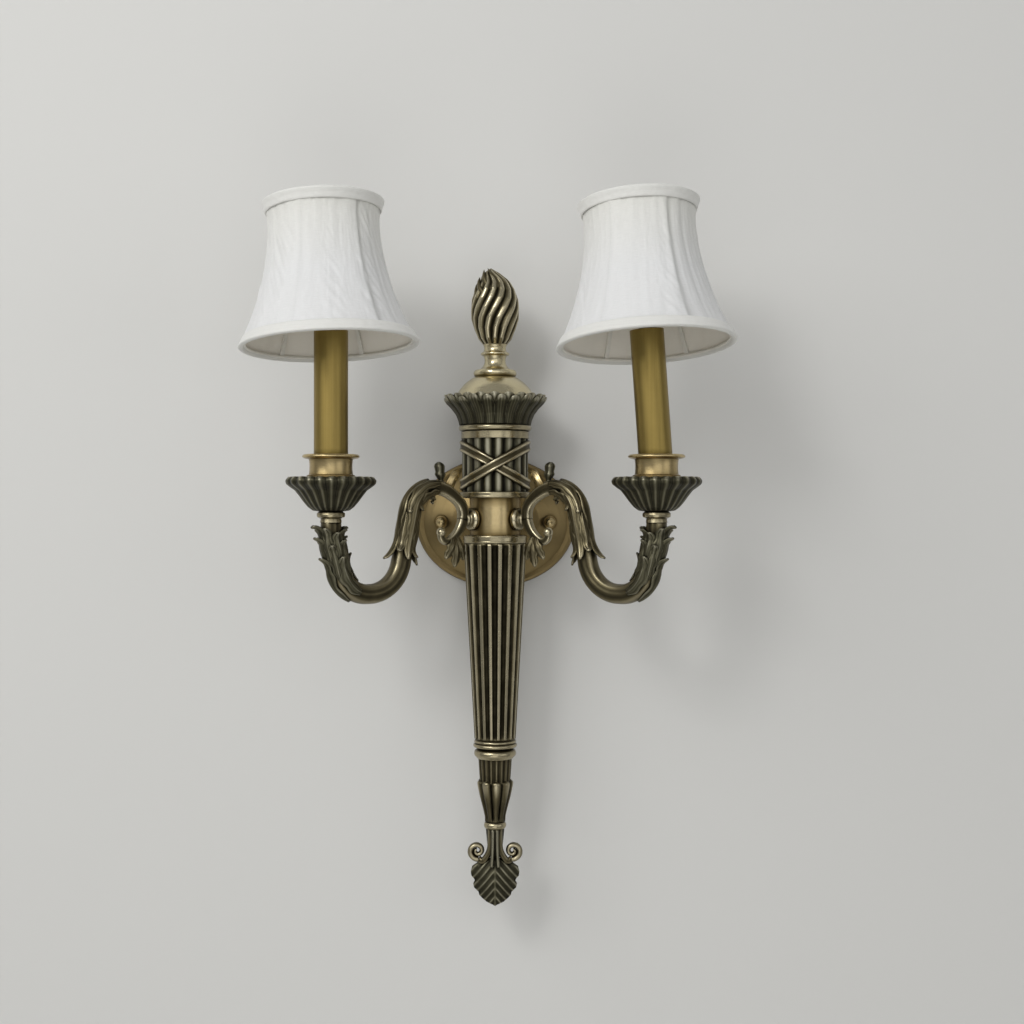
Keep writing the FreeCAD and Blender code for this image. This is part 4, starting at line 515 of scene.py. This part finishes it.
def barrel():
    """The reeded barrel: upright round rods side by side, dark between them."""
    low, high = ends("reeded_block")
    radius = (high.x - low.x) / 2 + 0.2

    def point(u, v):
        t = 2 * ((u * REEDS) % 1.0) - 1
        bulge = math.sqrt(max(0.0, 1 - (t / 1.04) ** 2))
        reach = radius - 3.2 * (1 - bulge)
        # Each rod is pale only in a thin line along its crest, a painted highlight, and dark
        # between the rods, patina and painted shade.
        return ring_point(COLUMN, reach, 2 * math.pi * u + BARREL_TURN,
                          low.z + v * (high.z - low.z)), bulge ** 5 * 0.8

    rods = grid_piece("reeded_barrel", 8, REEDS * FACETS, point, "fixture", BRONZE_DARK)
    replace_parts(rods, "reeded_block")


def ribbons():
    """Two bands wound round the barrel: raised double edges and a flat middle."""
    low, high = ends("crossed_ribbons")
    block_low, block_high = ends("reeded_block")
    radius = (high.x - low.x) / 2
    middle = (block_low.z + block_high.z) / 2
    slope = math.tan(math.radians(29.5))
    half = 3.9
    limit = (block_high.z - block_low.z) / 2 - 0.2

    def band(tilt, name):
        def point(u, v):
            angle = 2 * math.pi * u
            t = 2 * v - 1
            edge = math.exp(-((abs(t) - 0.62) / 0.2) ** 2)
            over = 1.5 if tilt > 0 else -0.2
            cross = math.exp(-(math.cos(angle) / 0.35) ** 2)
            reach = radius - 0.2 + 0.9 * edge + over * cross - 0.8 * smooth((abs(t) - 0.8) * 5)
            height = tilt * radius * math.cos(angle) * slope + t * half / math.cos(0.5)
            height = max(-limit, min(limit, height))
            return ring_point(COLUMN, reach, angle, middle + height), 0.25 + 0.7 * edge

        return grid_piece(name, 28, 180, point, "fixture", BRONZE, thick=0.8)

    made = merge("crossed_ribbons_carved", [band(1, "ribbon_over"), band(-1, "ribbon_under")])
    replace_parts(made, "crossed_ribbons")


def shaft():
    """The tapered shaft with its rounded flutes, which stop short of both ends."""
    low, high = ends("fluted_shaft")
    top = (high.x - low.x) / 2
    end = top * 0.653

    def point(u, v):
        radius = end + (top - end) * v
        t = 2 * ((u * FLUTES) % 1.0) - 1
        stop = smooth((1 - v) * 60) * smooth(v * 60)
        flute = math.sqrt(max(0.0, 1 - (t / 0.64) ** 2)) * stop
        depth = radius * 0.11
        reach = radius - depth * flute
        # The flutes are dark, darkest along their middles: patina and painted shade.
        shade = 0.78 - smooth(flute * 1.5) * 0.74
        return ring_point(COLUMN, reach, 2 * math.pi * u + SHAFT_TURN,
                          low.z + v * (high.z - low.z)), shade

    made = grid_piece("fluted_shaft_carved", 80, FLUTES * FACETS, point, "fixture", BRONZE,
                      caps=True)
    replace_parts(made, "fluted_shaft")


def gadroons():
    """The fluted neck over a tapered cup of raised gadroons, which meet at the waist."""
    low, high = ends("gadroon_cup")
    tall = high.z - low.z
    waist = 31.9 / 48.4
    widths = [(0.0, 7.9), (0.08, 8.1), (0.2, 9.4), (0.4, 12.0), (0.55, 13.6), (0.62, 14.2),
              (waist, 14.2)]
    under = 11.6
    neck = [(0.6, under), (0.72, 12.0), (0.98, 12.8), (1.0, 12.8)]

    def point(u, v):
        t = 2 * ((u * GADROONS + 0.5) % 1.0) - 1
        bulge = math.sqrt(max(0.0, 1 - t * t))
        crown_line = waist - 0.05 * (1 - bulge)
        if v < crown_line:
            top = math.sqrt(max(0.0, 1 - max(0.0, 1 - (crown_line - v) / 0.07) ** 2))
            reach = blend_values(widths, v) - 2.6 * (1 - bulge) * smooth(v * 16)
            reach = under + (reach - under) * top if v > waist - 0.12 else reach
            # Each gadroon is pale on its crest and lighter towards its top: a painted highlight.
            shade = 0.06 + 0.74 * bulge ** 3 * (0.35 + 0.65 * smooth((v - 0.25) * 2.6)) * top
        else:
            t = 2 * ((u * FLUTES) % 1.0) - 1
            groove = math.sqrt(max(0.0, 1 - (t / 0.7) ** 2))
            reach = blend_values(neck, v) - 0.9 * groove
            shade = 0.5 - 0.42 * groove
        return ring_point(COLUMN, reach, 2 * math.pi * u + CUP_TURN, low.z + v * tall), shade

    made = grid_piece("gadroon_cup_carved", 110, 16 * FLUTES, point, "fixture", BRONZE, caps=True)
    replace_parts(made, "gadroon_cup")


def spiral(name, centre, radius, turns, thick, side):
    """A strip rolled up in an upright plane, from under its eye, and thinner towards it."""
    def path(v):
        angle = math.radians(-90 - 9 * side) + side * turns * 2 * math.pi * v
        reach = radius * (1 - 0.86 * v)
        return centre + Vector((reach * math.cos(angle), 0, reach * math.sin(angle)))

    return swept(name, path, lambda v: thick * (1 - 0.35 * v), FRONT, 60, 12, BRONZE,
                 section=lambda a, v: (1, 0.25 + 0.5 * abs(math.sin(a))), squeeze=1.5)


def tip_leaf():
    """The cast leaf below the column: two strips that part into scrolls, over a lobed palmette."""
    low, high = ends("tip_leaf")
    top = ends("tip_bead")[0].z
    mid = COLUMN.y
    tall = top - low.z
    edge = [(0.0, 6.0), (0.08, 13.5), (0.16, 17.6), (0.28, 18.7), (0.37, 18.2), (0.43, 16.2),
            (0.47, 15.6), (0.53, 16.8), (0.62, 16.2), (0.69, 13.6), (0.72, 12.6), (0.78, 12.2),
            (0.85, 9.8), (0.93, 6.4), (0.98, 3.0), (1.0, 0.4)]
    start = top - 0.39 * tall

    def face(front):
        def point(u, v):
            t = 2 * u - 1
            half = blend_values(edge, v)
            across = half * t
            rib = math.exp(-(across / 0.9) ** 2)
            fan = 0.5 + 0.5 * math.cos(2 * math.pi * (v * 5.2 - 0.19 * abs(across) ** 0.97 - 0.1))
            swell = 5.2 * (1 - abs(t) ** 2.6) * (0.5 + 0.5 * math.sin(math.pi * min(1, v + 0.15)))
            lift = swell + 0.7 * rib + 1.0 * (fan - 0.5) * (1 - rib)
            shade = min(1.0, 0.16 + 0.35 * rib + 0.5 * fan ** 3 * (1 - rib)
                        + 0.12 * smooth((abs(t) - 0.86) * 8))
            return (COLUMN.x + across, mid - front * lift, start + (low.z - start) * v), shade

        return grid_piece(f"tip_blade_{front}", 120, 56, point, "fixture", BRONZE_DARK,
                          round_u=False)

    parts = [face(1), face(-1)]
    stem = [(7.2, 0.5), (6.8, -4), (6.0, -12), (4.5, -20), (0.5, -27)]
    parts.append(lathe("tip_stem", COLUMN, top, stem, BRONZE_DARK, cols=48,
                       relief=lambda r, z: 0.12))
    for side in (-1, 1):
        inner = [COLUMN + Vector((side * x, -y, 0)) + UP * (top + z) for x, y, z in
                 ((1.6, 6.2, 0.5), (1.4, 7.4, -15), (2.6, 6.6, -28))]

        def rib(v, inner=inner):
            return curve(inner, v)

        parts.append(swept(f"tip_rib_{side}", rib, lambda v: 1.5, FRONT, 24, 12, BRONZE_DARK,
                           section=lambda a, v: (1, 0.3 + 0.35 * math.sin(a))))
        eye = Vector((COLUMN.x + side * 13.6, mid - 1.0, high.z - 16.6))
        spots = [Vector((COLUMN.x + side * x, mid - y, top + z)) for x, y, z in
                 ((3.2, 3.6, 0.5), (3.2, 3.6, -9), (4.4, 3.4, -17), (9.0, 2.4, -24.0))]
        spots.append(eye + Vector((-side * 1.0, 0, -6.3)))
        count = len(spots) - 1

        def branch(v, spots=spots, count=count):
            """A smooth curve through all the spots."""
            place = v * count
            i = min(int(place), count - 1)
            t = place - i
            before, after = spots[max(0, i - 1)], spots[min(count, i + 2)]
            one, two = spots[i], spots[i + 1]
            return 0.5 * (2 * one + (two - before) * t + (2 * before - 5 * one + 4 * two - after)
                          * t * t + (3 * one - before - 3 * two + after) * t ** 3)

        parts.append(swept(f"tip_branch_{side}", branch, lambda v: 2.5, FRONT, 60, 16, BRONZE,
                           section=strip_section))
        parts.append(spiral(f"tip_scroll_{side}", eye, 6.4, 1.45, 2.3, side))
    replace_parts(merge("tip_leaf_carved", parts), "tip_leaf")


def strip_section(angle, v):
    """A strip with a groove along its middle."""
    groove = math.exp(-(math.cos(angle) / 0.35) ** 2)
    return 1 - 0.16 * groove, 0.62 - 0.45 * groove


# Arms. Each has a flat route in its own upright plane, walked from the hub in moves of
# (radius, turn in degrees), or (None, length) for a straight one. A stage counts the moves.

ARM_MOVES = [(15.3, -58.0), (41.0, -19.0), (22.0, -103.0), (None, 39.941), (27.145, 78.0),
             (None, 2.0), (23.4, 74.5), (None, 16.5), (60.0, 15.5), (None, 3.0)]
ARM_START = (29.7, 2.5, 102.0)
CURL_MOVES = [(23.7, 50.0), (5.0, 140.0)]
ARM_RADII = [4.4, 4.4, 5.3, 6.7, 7.3, 7.3, 7.3, 8.0, 7.6, 7.3, 7.1]
SPLAY = math.radians(35.0)
EYE_RADIUS = 3.7


def walk(across, up, heading, moves):
    """Points (across, up, heading, stage) about one millimetre apart along lines and arcs."""
    spots = [(across, up, heading, 0.0)]
    for index, (radius, turn) in enumerate(moves):
        length = turn if radius is None else radius * math.radians(abs(turn))
        swing = 0.0 if radius is None else turn
        count = max(2, int(length))
        for i in range(count):
            aim = math.radians(heading + swing / count / 2)
            across += math.cos(aim) * length / count
            up += math.sin(aim) * length / count
            heading += swing / count
            spots.append((across, up, heading, index + (i + 1) / count))
    return spots


def arm_axes(side):
    """The arm's way out from the column, and the normal of its plane that looks forward."""
    out = Vector((side * math.cos(SPLAY), -math.sin(SPLAY), 0))
    flat = Vector((-side * math.sin(SPLAY), -math.cos(SPLAY), 0))
    return out, flat


def route_reader(spots, side):
    """A function that gives the place at a share of the route."""
    out, _ = arm_axes(side)
    places = [(across, up) for across, up, _, _ in spots]

    def path(v):
        across, up = between(places, v)
        return COLUMN + out * across + UP * up

    return path


def stage_at(spots, v):
    return spots[min(len(spots) - 1, round(v * (len(spots) - 1)))][3]


def share_of(spots, stage):
    """The share of the route at which a stage is reached."""
    for i, spot in enumerate(spots):
        if spot[3] >= stage:
            return i / (len(spots) - 1)
    return 1.0


def arm(side, name):
    """One cast arm: tube, scroll with its eye, knob, bud and all its leaves."""
    out, flat = arm_axes(side)
    spots = walk(*ARM_START, ARM_MOVES)
    path = route_reader(spots, side)
    radii = list(enumerate(ARM_RADII))
    parts = []

    def band(angle, v):
        """A hollow channel with a border at each side, fainter past the scroll."""
        across = abs(math.cos(angle))
        border = math.exp(-((across - 0.74) / 0.14) ** 2)
        channel = smooth((0.6 - across) / 0.25)
        past_scroll = smooth((stage_at(spots, v) - 2.6) / 1.0)
        strength = 1 - 0.3 * past_scroll
        middle = math.exp(-(across / 0.16) ** 2) * past_scroll
        factor = 1 + strength * (0.07 * border - 0.17 * channel + 0.1 * middle)
        # Past the scroll the tube is darker, with a raised middle painted pale: a painted highlight
        # along its front and back.
        shade = 0.62 - 0.2 * past_scroll + strength * (0.3 * border - 0.42 * channel + 0.4 * middle)
        return factor, max(0.05, shade)

    parts.append(swept(f"{name}_tube", path, lambda v: blend_values(radii, stage_at(spots, v)),
                       flat, len(spots) - 1, 32, BRONZE, section=band))
    across, up, heading = ARM_START
    curl = walk(across, up, heading + 180, CURL_MOVES)
    curl_path = route_reader(curl, side)
    parts.append(swept(f"{name}_volute", curl_path, lambda v: 4.1 - 1.5 * v, flat,
                       len(curl) - 1, 24, BRONZE, section=lambda a, v: band(a, 0.0)))
    eye = bpy.data.meshes.new("eye")
    work = bmesh.new()
    bmesh.ops.create_uvsphere(work, u_segments=24, v_segments=16, radius=EYE_RADIUS * MM)
    bmesh.ops.translate(work, verts=work.verts, vec=curl_path(1.0) * MM)
    work.to_mesh(eye)
    work.free()
    relief = eye.attributes.new("relief", "FLOAT", "POINT")
    relief.data.foreach_set("value", [0.8] * len(eye.vertices))
    eye.uv_layers.new(name="UVMap")
    parts.append(add_piece(f"{name}_eye", eye, "fixture", BRONZE))
    parts.append(knob(name, out))
    parts.append(bud(side, name, spots, path))
    parts += hanging_leaves(name, curl_path, out, flat)
    parts.append(hub_leaf(name, out, flat))
    parts += sheath(side, name, spots, path, flat)
    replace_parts(merge(f"{name}_arm_carved", parts), f"{name}_arm")


def knob(name, out):
    """The turned knob between the hub and the scroll, its axis along the arm."""
    across = UP.cross(out)
    outline = [(0.2, 18.8), (7.6, 19.2), (8.6, 20.8), (8.7, 22.4), (7.6, 23.8), (5.6, 24.8),
               (4.9, 25.6), (5.4, 26.6), (4.6, 27.9), (0.2, 28.4)]
    level = ARM_START[1]
    widest = max(radius for radius, _ in outline)

    def point(u, v):
        radius, reach = between(outline, v)
        angle = 2 * math.pi * u
        spot = COLUMN + out * reach + UP * (level + radius * math.sin(angle))
        return spot + across * (radius * math.cos(angle)), 0.35 + 0.6 * radius / widest

    return grid_piece(f"{name}_knob", (len(outline) - 1) * 5, 40, point, "fixture", BRONZE)


def hanging_leaves(name, curl_path, out, flat):
    """Three small leaves that hang in a fan from the scroll's lower end."""
    foot = curl_path(0.45)
    made = []
    for index, (aim, length, width) in enumerate(((-62, 19, 4.0), (-88, 23, 4.4), (-112, 19, 3.8))):
        aim = math.radians(aim)
        heading = out * math.cos(aim) + UP * math.sin(aim)

        def line(v, heading=heading, length=length):
            return foot + heading * (length * v) + flat * (1.2 + 2.6 * math.sin(math.pi * v))

        made.append(blade(f"{name}_hanging_leaf_{index}", line, lambda v: flat,
                          lambda v, w=width: w * blend_values(LEAF_SWELL, v), BRONZE, lobes=3,
                          notch=0.25, cup=0.35, rows=24, cols=14, thick=1.6))
    return made


def hub_leaf(name, out, flat):
    """The pale leaf that rises from the scroll and curls over towards the column."""
    corners = [COLUMN + out * across + UP * up for across, up in ((43, 21), (43, 34), (31.5, 39.5))]

    def line(v):
        return curve(corners, v) + flat * (2.4 * math.sin(math.pi * v))

    return blade(f"{name}_hub_leaf", line, lambda v: flat,
                 lambda v: 4.2 * blend_values(LEAF_SWELL, v), BRASS, lobes=2, notch=0.2,
                 cup=0.4, rows=28, cols=14, thick=1.8)


def bud(side, name, spots, path):
    """The closed bud that stands on the scroll's top."""
    foot = path(share_of(spots, 2.08)) + UP * 3.2
    outline = [(3.6, -2.5), (3.1, 1.0), (2.4, 3.0), (3.0, 5.0), (4.0, 7.4), (3.3, 9.2), (3.6, 11.4),
               (3.9, 13.4), (3.1, 15.2), (1.6, 16.3), (0.1, 16.8)]

    def point(u, v):
        radius, height = between(outline, v)
        angle = 2 * math.pi * u
        petal = abs(math.cos(2 * angle)) ** 0.6
        radius *= 0.8 + 0.25 * petal * smooth((height - 3) / 3)
        return foot + Vector((radius * math.cos(angle) + side * height * 0.1,
                              radius * math.sin(angle), height)), 0.1 + 0.5 * petal

    return grid_piece(f"{name}_bud", (len(outline) - 1) * 4, 32, point, "fixture", BRONZE_DARK,
                      caps=True)


# Each leaf on the tube: the stage of its foot, its length along the route, below zero where it
# points back, half its width, its turn about the tube in degrees and how far its tip curls out.
ARM_LEAVES = [(2.35, 66, 5.2, 0, 7.6), (2.45, 60, 5.2, 180, 6.4), (2.5, 55, 5.6, 90, 2.0),
              (2.5, 55, 5.6, 270, 2.0), (2.85, -24, 4.6, 180, 6.5), (2.2, 34, 4.4, 60, 2.4),
              (2.2, 30, 4.4, 130, 2.8), (3.1, 30, 4.4, 135, 4.0), (3.05, 30, 4.4, 45, 3.6)]
PAN_LEAVES = [(6.3, 33, 5.8, 90, 4.0), (6.35, 33, 5.8, 270, 4.0), (6.4, 29, 5.4, 0, 4.6),
              (6.35, 33, 5.6, 180, 5.0), (6.95, 26, 5.2, 0, 4.8), (6.95, 28, 5.6, 180, 6.4),
              (6.9, 26, 5.2, 60, 4.0), (6.85, 25, 5.2, 120, 4.0), (6.9, 26, 5.2, 240, 4.0),
              (6.85, 25, 5.2, 300, 4.0), (7.5, 25, 5.2, 0, 6.0), (7.55, 25, 5.6, 180, 8.4),
              (7.45, 23, 4.8, 40, 3.6), (7.4, 22, 4.8, 90, 3.4), (7.5, 24, 4.8, 140, 4.0),
              (7.45, 23, 4.8, 220, 3.6), (7.4, 22, 4.8, 270, 3.4), (7.5, 24, 4.8, 320, 4.0)]
LEAF_SWELL = [(0.0, 0.45), (0.3, 0.86), (0.55, 1.0), (0.8, 0.78), (0.93, 0.45), (1.0, 0.06)]


def sheath(side, name, spots, path, flat):
    """The leaves that wrap the tube: over the scroll's outer side, and up to the pan."""
    radii = list(enumerate(ARM_RADII))
    step = 0.01
    made = []
    for index, (stage, length, width, turn, curl) in enumerate(ARM_LEAVES + PAN_LEAVES):
        foot = share_of(spots, stage)
        span = length / (len(spots) - 1)
        hooked = math.copysign(0.3 * curl, -length)
        turn = math.radians(turn)

        def stance(v, foot=foot, span=span):
            """The share of the route above which the leaf lies at v, and the way along it."""
            share = max(0.0, min(1.0, foot + span * v))
            ahead, back = path(min(1, share + step)), path(max(0, share - step))
            return share, (ahead - back).normalized()

        def line(v, stance=stance, turn=turn, curl=curl, hooked=hooked):
            share, along = stance(v)
            sideways = along.cross(flat).normalized() * -side
            away = sideways * math.cos(turn) + flat * math.sin(turn)
            reach = blend_values(radii, stage_at(spots, share)) + 0.5
            reach += 1.2 * math.sin(math.pi * min(1, v * 1.2))
            reach += curl * smooth((v - 0.66) * 2.6) ** 1.4
            return path(share) + away * reach + along * (hooked * smooth((v - 0.88) * 7))

        def facing(v, stance=stance, turn=turn):
            _, along = stance(v)
            return along.cross(flat) * (-side * math.cos(turn)) + flat * math.sin(turn)

        def width_at(v, width=width):
            return width * blend_values(LEAF_SWELL, v)

        made.append(blade(f"{name}_leaf_{index}", line, facing, width_at,
                          BRONZE if index < len(ARM_LEAVES) else BRONZE_DARK,
                          lobes=4 if length > 40 else 3, notch=0.3, cup=0.5, rows=34, cols=18,
                          thick=1.2))
    return made


# Candle ends

PAN_FLUTES = 24


def pans():
    """The fluted drip pans, each with a smooth rolled rim and a plain inside."""
    for _, name in SIDES:
        low, high = ends(f"{name}_drip_pan")
        centre = (low + high) / 2
        reach = (high.x - low.x) / 2
        profile = [(0.0, 0.30, -0.3), (0.08, 0.40, 0.2), (0.2, 0.50, 2.6), (0.34, 0.595, 6.2),
                   (0.48, 0.69, 10.4), (0.6, 0.79, 14.4), (0.68, 0.90, 16.8), (0.76, 0.98, 18.8),
                   (0.84, 0.995, 20.8), (0.92, 0.95, 22.9), (1.0, 0.87, 22.9)]
        outline = [(share, reach * wide, height) for share, wide, height in profile]
        wall = leaf_ring(f"{name}_pan_leaves", centre, low.z, outline, PAN_FLUTES, 0.75, 0.9,
                         veins=2, thick=1.4, lip=0.92)
        inside = lathe(f"{name}_pan_inside", centre, low.z,
                       [(5.5, 1.5), (10, 1.8), (15.5, 5.8), (19.0, 11), (22.0, 15.5), (26.5, 20.0),
                        (29.4, 21.6)], BRONZE_DARK)
        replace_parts(merge(f"{name}_pan_carved", [wall, inside]), f"{name}_drip_pan")


# Shades

SHADE_RIBS = 6
SHADE_HEIGHT, SHADE_TOP_RISE = 102.6, 6.6
WAIST_RADIUS, WAIST_SHARE = 39.6, 0.85
BASE_FLARE, BASE_FLARE_POWER, TOP_FLARE = 23.4, 1.88, 3.0
# How far each shade's base swings to the right, how far it swings to the front and how far to
# the right of the front its seam is, in degrees.
SHADE_LEANS = {"left": (3.0, 4.0, 43.0), "right": (2.6, 6.0, 25.0)}


def shade_radius(share):
    """The bell's radius at a share of its height."""
    if share < WAIST_SHARE:
        return WAIST_RADIUS + BASE_FLARE * (1 - share / WAIST_SHARE) ** BASE_FLARE_POWER
    return WAIST_RADIUS + TOP_FLARE * ((share - WAIST_SHARE) / (1 - WAIST_SHARE)) ** 2


def shade_frame(name):
    """Where the shade stands: at its tilt joint, swung by its two leans."""
    joint = next(j for j in frame["joints"] if j["name"] == f"{name}_shade_tilt")
    lean, nod, _ = SHADE_LEANS[name]
    to_side = Matrix.Rotation(math.radians(-lean), 4, "Y")
    to_front = Matrix.Rotation(math.radians(-nod), 4, "X")
    return Matrix.Translation(Vector(joint["pos_m"]) / MM) @ to_side @ to_front


def shades():
    """The silk of each shade: a cover with a sewn seam, a lining and a binding at each rim."""
    for side, name in SIDES:
        place = shade_frame(name)
        base = SHADE_TOP_RISE - SHADE_HEIGHT
        seam = FRONT_ANGLE + math.radians(SHADE_LEANS[name][2])
        seed = Vector((side * 3.1, 1.7, 0.4))

        def skin(offset, wrinkle):
            """Cloth drawn in between the ribs, puckered at the base, with an upright seam."""
            def point(u, v):
                angle = 2 * math.pi * u + seam
                slack = abs(math.sin(SHADE_RIBS * math.pi * u)) ** 1.3
                pull = 1.5 * slack * (0.35 + 0.65 * math.sin(math.pi * min(1, v * 1.05)))
                over_rib = math.exp(-((u * SHADE_RIBS + 0.5) % 1.0 - 0.5) ** 2 / 0.0009)
                past = u if u < 0.5 else u - 1
                sewn_and_shaded = math.exp(-(past / (0.004 if past < 0 else 0.013)) ** 2)
                turned_in_and_shaded = math.exp(-((u - 0.05) / 0.007) ** 2)
                spot = Vector((6 * math.cos(angle), 6 * math.sin(angle), 2.2 * v)) + seed
                ripple = noise.noise(spot * 1.6) * 0.35 + noise.noise(spot * 5.0) * 0.16
                low_pucker = noise.noise(Vector((u * 60, v * 7, side))) * 0.45
                low_pucker *= smooth(1 - v * 3.2)
                crease = noise.noise(Vector((u * 70 + v * 16, v * 4, side)))
                slack_spot = smooth(noise.noise(spot * 0.5 + seed) * 3 - 0.1)
                reach = shade_radius(v) + offset - pull + 0.35 * over_rib
                reach += (ripple + low_pucker + 0.55 * crease * slack_spot) * wrinkle
                reach -= (0.9 * sewn_and_shaded + 0.4 * turned_in_and_shaded) * wrinkle
                local = Vector((reach * math.cos(angle), reach * math.sin(angle),
                                base + SHADE_HEIGHT * v))
                # Painted shade: darker in the sewn seam's fold, in the turned-in fold and over the
                # ribs; painted light on the wrinkles and creases that stand out.
                shade = 0.8 - 0.08 * over_rib - 0.42 * sewn_and_shaded - 0.12 * turned_in_and_shaded
                return place @ local, max(0.0, shade + 0.1 * ripple + 0.12 * crease * slack_spot)

            return point

        body = f"{name}_shade"
        cover = grid_piece(f"{name}_silk_cover", 90, 360, skin(0.0, 1.0), body, SILK)
        lining = grid_piece(f"{name}_silk_lining", 50, 180, skin(-0.9, 0.4), body, LINING)
        bands = [binding(name, place, base, at_top, seed, body) for at_top in (0.0, 1.0)]
        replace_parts(cover, f"{name}_shade_cover")
        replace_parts(bands[0], f"{name}_shade_trims")


def binding(name, place, base, at_top, seed, body):
    """A rolled strip of the same silk over a rim. shape is (across the strip, off the cover)."""
    wide, tall = 7.0 / SHADE_HEIGHT, 24
    shape = [(0.35, -3.1), (0.05, -3.2), (-0.14, -2.2), (-0.18, -0.6), (-0.10, 0.5), (0.0, 1.15),
             (0.25, 1.25), (0.5, 1.05), (0.8, 1.15), (0.97, 1.0), (1.03, 0.45), (1.0, 0.0)]

    def point(u, v):
        over, off = between(shape, v)
        share = 1 - over * wide if at_top else over * wide
        angle = 2 * math.pi * u
        pucker = noise.noise(Vector((u * 90, over * 3, at_top * 5 + seed.x))) * 0.22
        held = max(0.0, min(1.0, share))
        reach = shade_radius(held) + off + pucker
        return place @ Vector((reach * math.cos(angle), reach * math.sin(angle),
                               base + SHADE_HEIGHT * share)), 0.8

    tag = "top" if at_top else "base"
    return grid_piece(f"{name}_{tag}_binding", tall, 300, point, body, BINDING)


# Camera, light and backdrop

FRAME_PIXELS, FOCAL_PIXELS = 1024, 1500
SENSOR = 36
CAMERA_PLACE = (0.013, -1.203, 0.008)
WALL_PLACE, FLOOR_PLACE, PLANE_SIZE = (0, 0.0006, 0.6), (0, 0, -1.2), 9
BACKDROP_COLOUR = (0.64, 0.635, 0.612)


def one_sided(name, colour):
    """A pale wall that is clear from behind, so that the object's back can be seen and lit."""
    made, tree, shader = new_material(name)
    shader.inputs["Base Color"].default_value = (*colour, 1)
    shader.inputs["Roughness"].default_value = 0.9
    side = add_node(tree, "ShaderNodeNewGeometry")
    rays = add_node(tree, "ShaderNodeLightPath")
    passes = maths(tree, "MAXIMUM", side.outputs["Backfacing"], rays.outputs["Is Shadow Ray"])
    clear = add_node(tree, "ShaderNodeBsdfTransparent")
    mix = add_node(tree, "ShaderNodeMixShader")
    link = tree.links.new
    link(passes, mix.inputs["Fac"])
    link(shader.outputs["BSDF"], mix.inputs[1])
    link(clear.outputs["BSDF"], mix.inputs[2])
    link(mix.outputs["Shader"], tree.nodes["Material Output"].inputs["Surface"])
    return made


def stage_set():
    """The camera in front of the wall, the wall, the floor and the lamps."""
    camera = bpy.data.objects.new("camera", bpy.data.cameras.new("camera"))
    bpy.context.scene.collection.objects.link(camera)
    camera.data.sensor_width = SENSOR
    camera.data.lens = SENSOR * FOCAL_PIXELS / FRAME_PIXELS
    camera.location = CAMERA_PLACE
    camera.rotation_euler = (math.radians(90), 0, 0)
    bpy.context.scene.camera = camera
    wall = one_sided("backdrop", BACKDROP_COLOUR)
    ground = plain("floor", BACKDROP_COLOUR, 0.9, grain=0.01)
    for name, place, turn, pale in (("backdrop", WALL_PLACE, (math.radians(90), 0, 0), wall),
                                    ("floor", FLOOR_PLACE, (0, 0, 0), ground)):
        bpy.ops.mesh.primitive_plane_add(size=PLANE_SIZE, location=place, rotation=turn)
        plane = bpy.context.object
        plane.name = name
        plane.data.materials.append(pale)
    # Each lamp is a square that looks at the origin: its place, side and power.
    lights = (("key", (-1.6, -1.7, 1.3), 1.9, 26), ("window", (-0.75, -1.5, 0.95), 0.45, 6.2),
              ("fill", (1.8, -1.6, 0.3), 1.4, 4.5), ("front", (0.2, -2.6, 0.8), 2.0, 12),
              ("low", (-0.1, -1.6, -1.0), 1.2, 4.5), ("behind", (0.0, 1.6, 0.5), 1.6, 5))
    for name, place, size, power in lights:
        light = bpy.data.lights.new(name, "AREA")
        light.size = size
        light.energy = power
        item = bpy.data.objects.new(name, light)
        bpy.context.scene.collection.objects.link(item)
        item.location = place
        item.rotation_euler = (-Vector(place)).to_track_quat("-Z", "Y").to_euler()
    world = bpy.data.worlds.new("studio")
    bpy.context.scene.world = world
    world.use_nodes = True
    world.node_tree.nodes["Background"].inputs["Color"].default_value = (0.80, 0.81, 0.82, 1)
    world.node_tree.nodes["Background"].inputs["Strength"].default_value = 0.37
    bpy.context.scene.view_settings.view_transform = "Standard"


stage_set()
dress_cad_nodes()
flame()
crown()
barrel()
ribbons()
shaft()
gadroons()
tip_leaf()
for arm_side, arm_name in SIDES:
    arm(arm_side, arm_name)
pans()
shades()
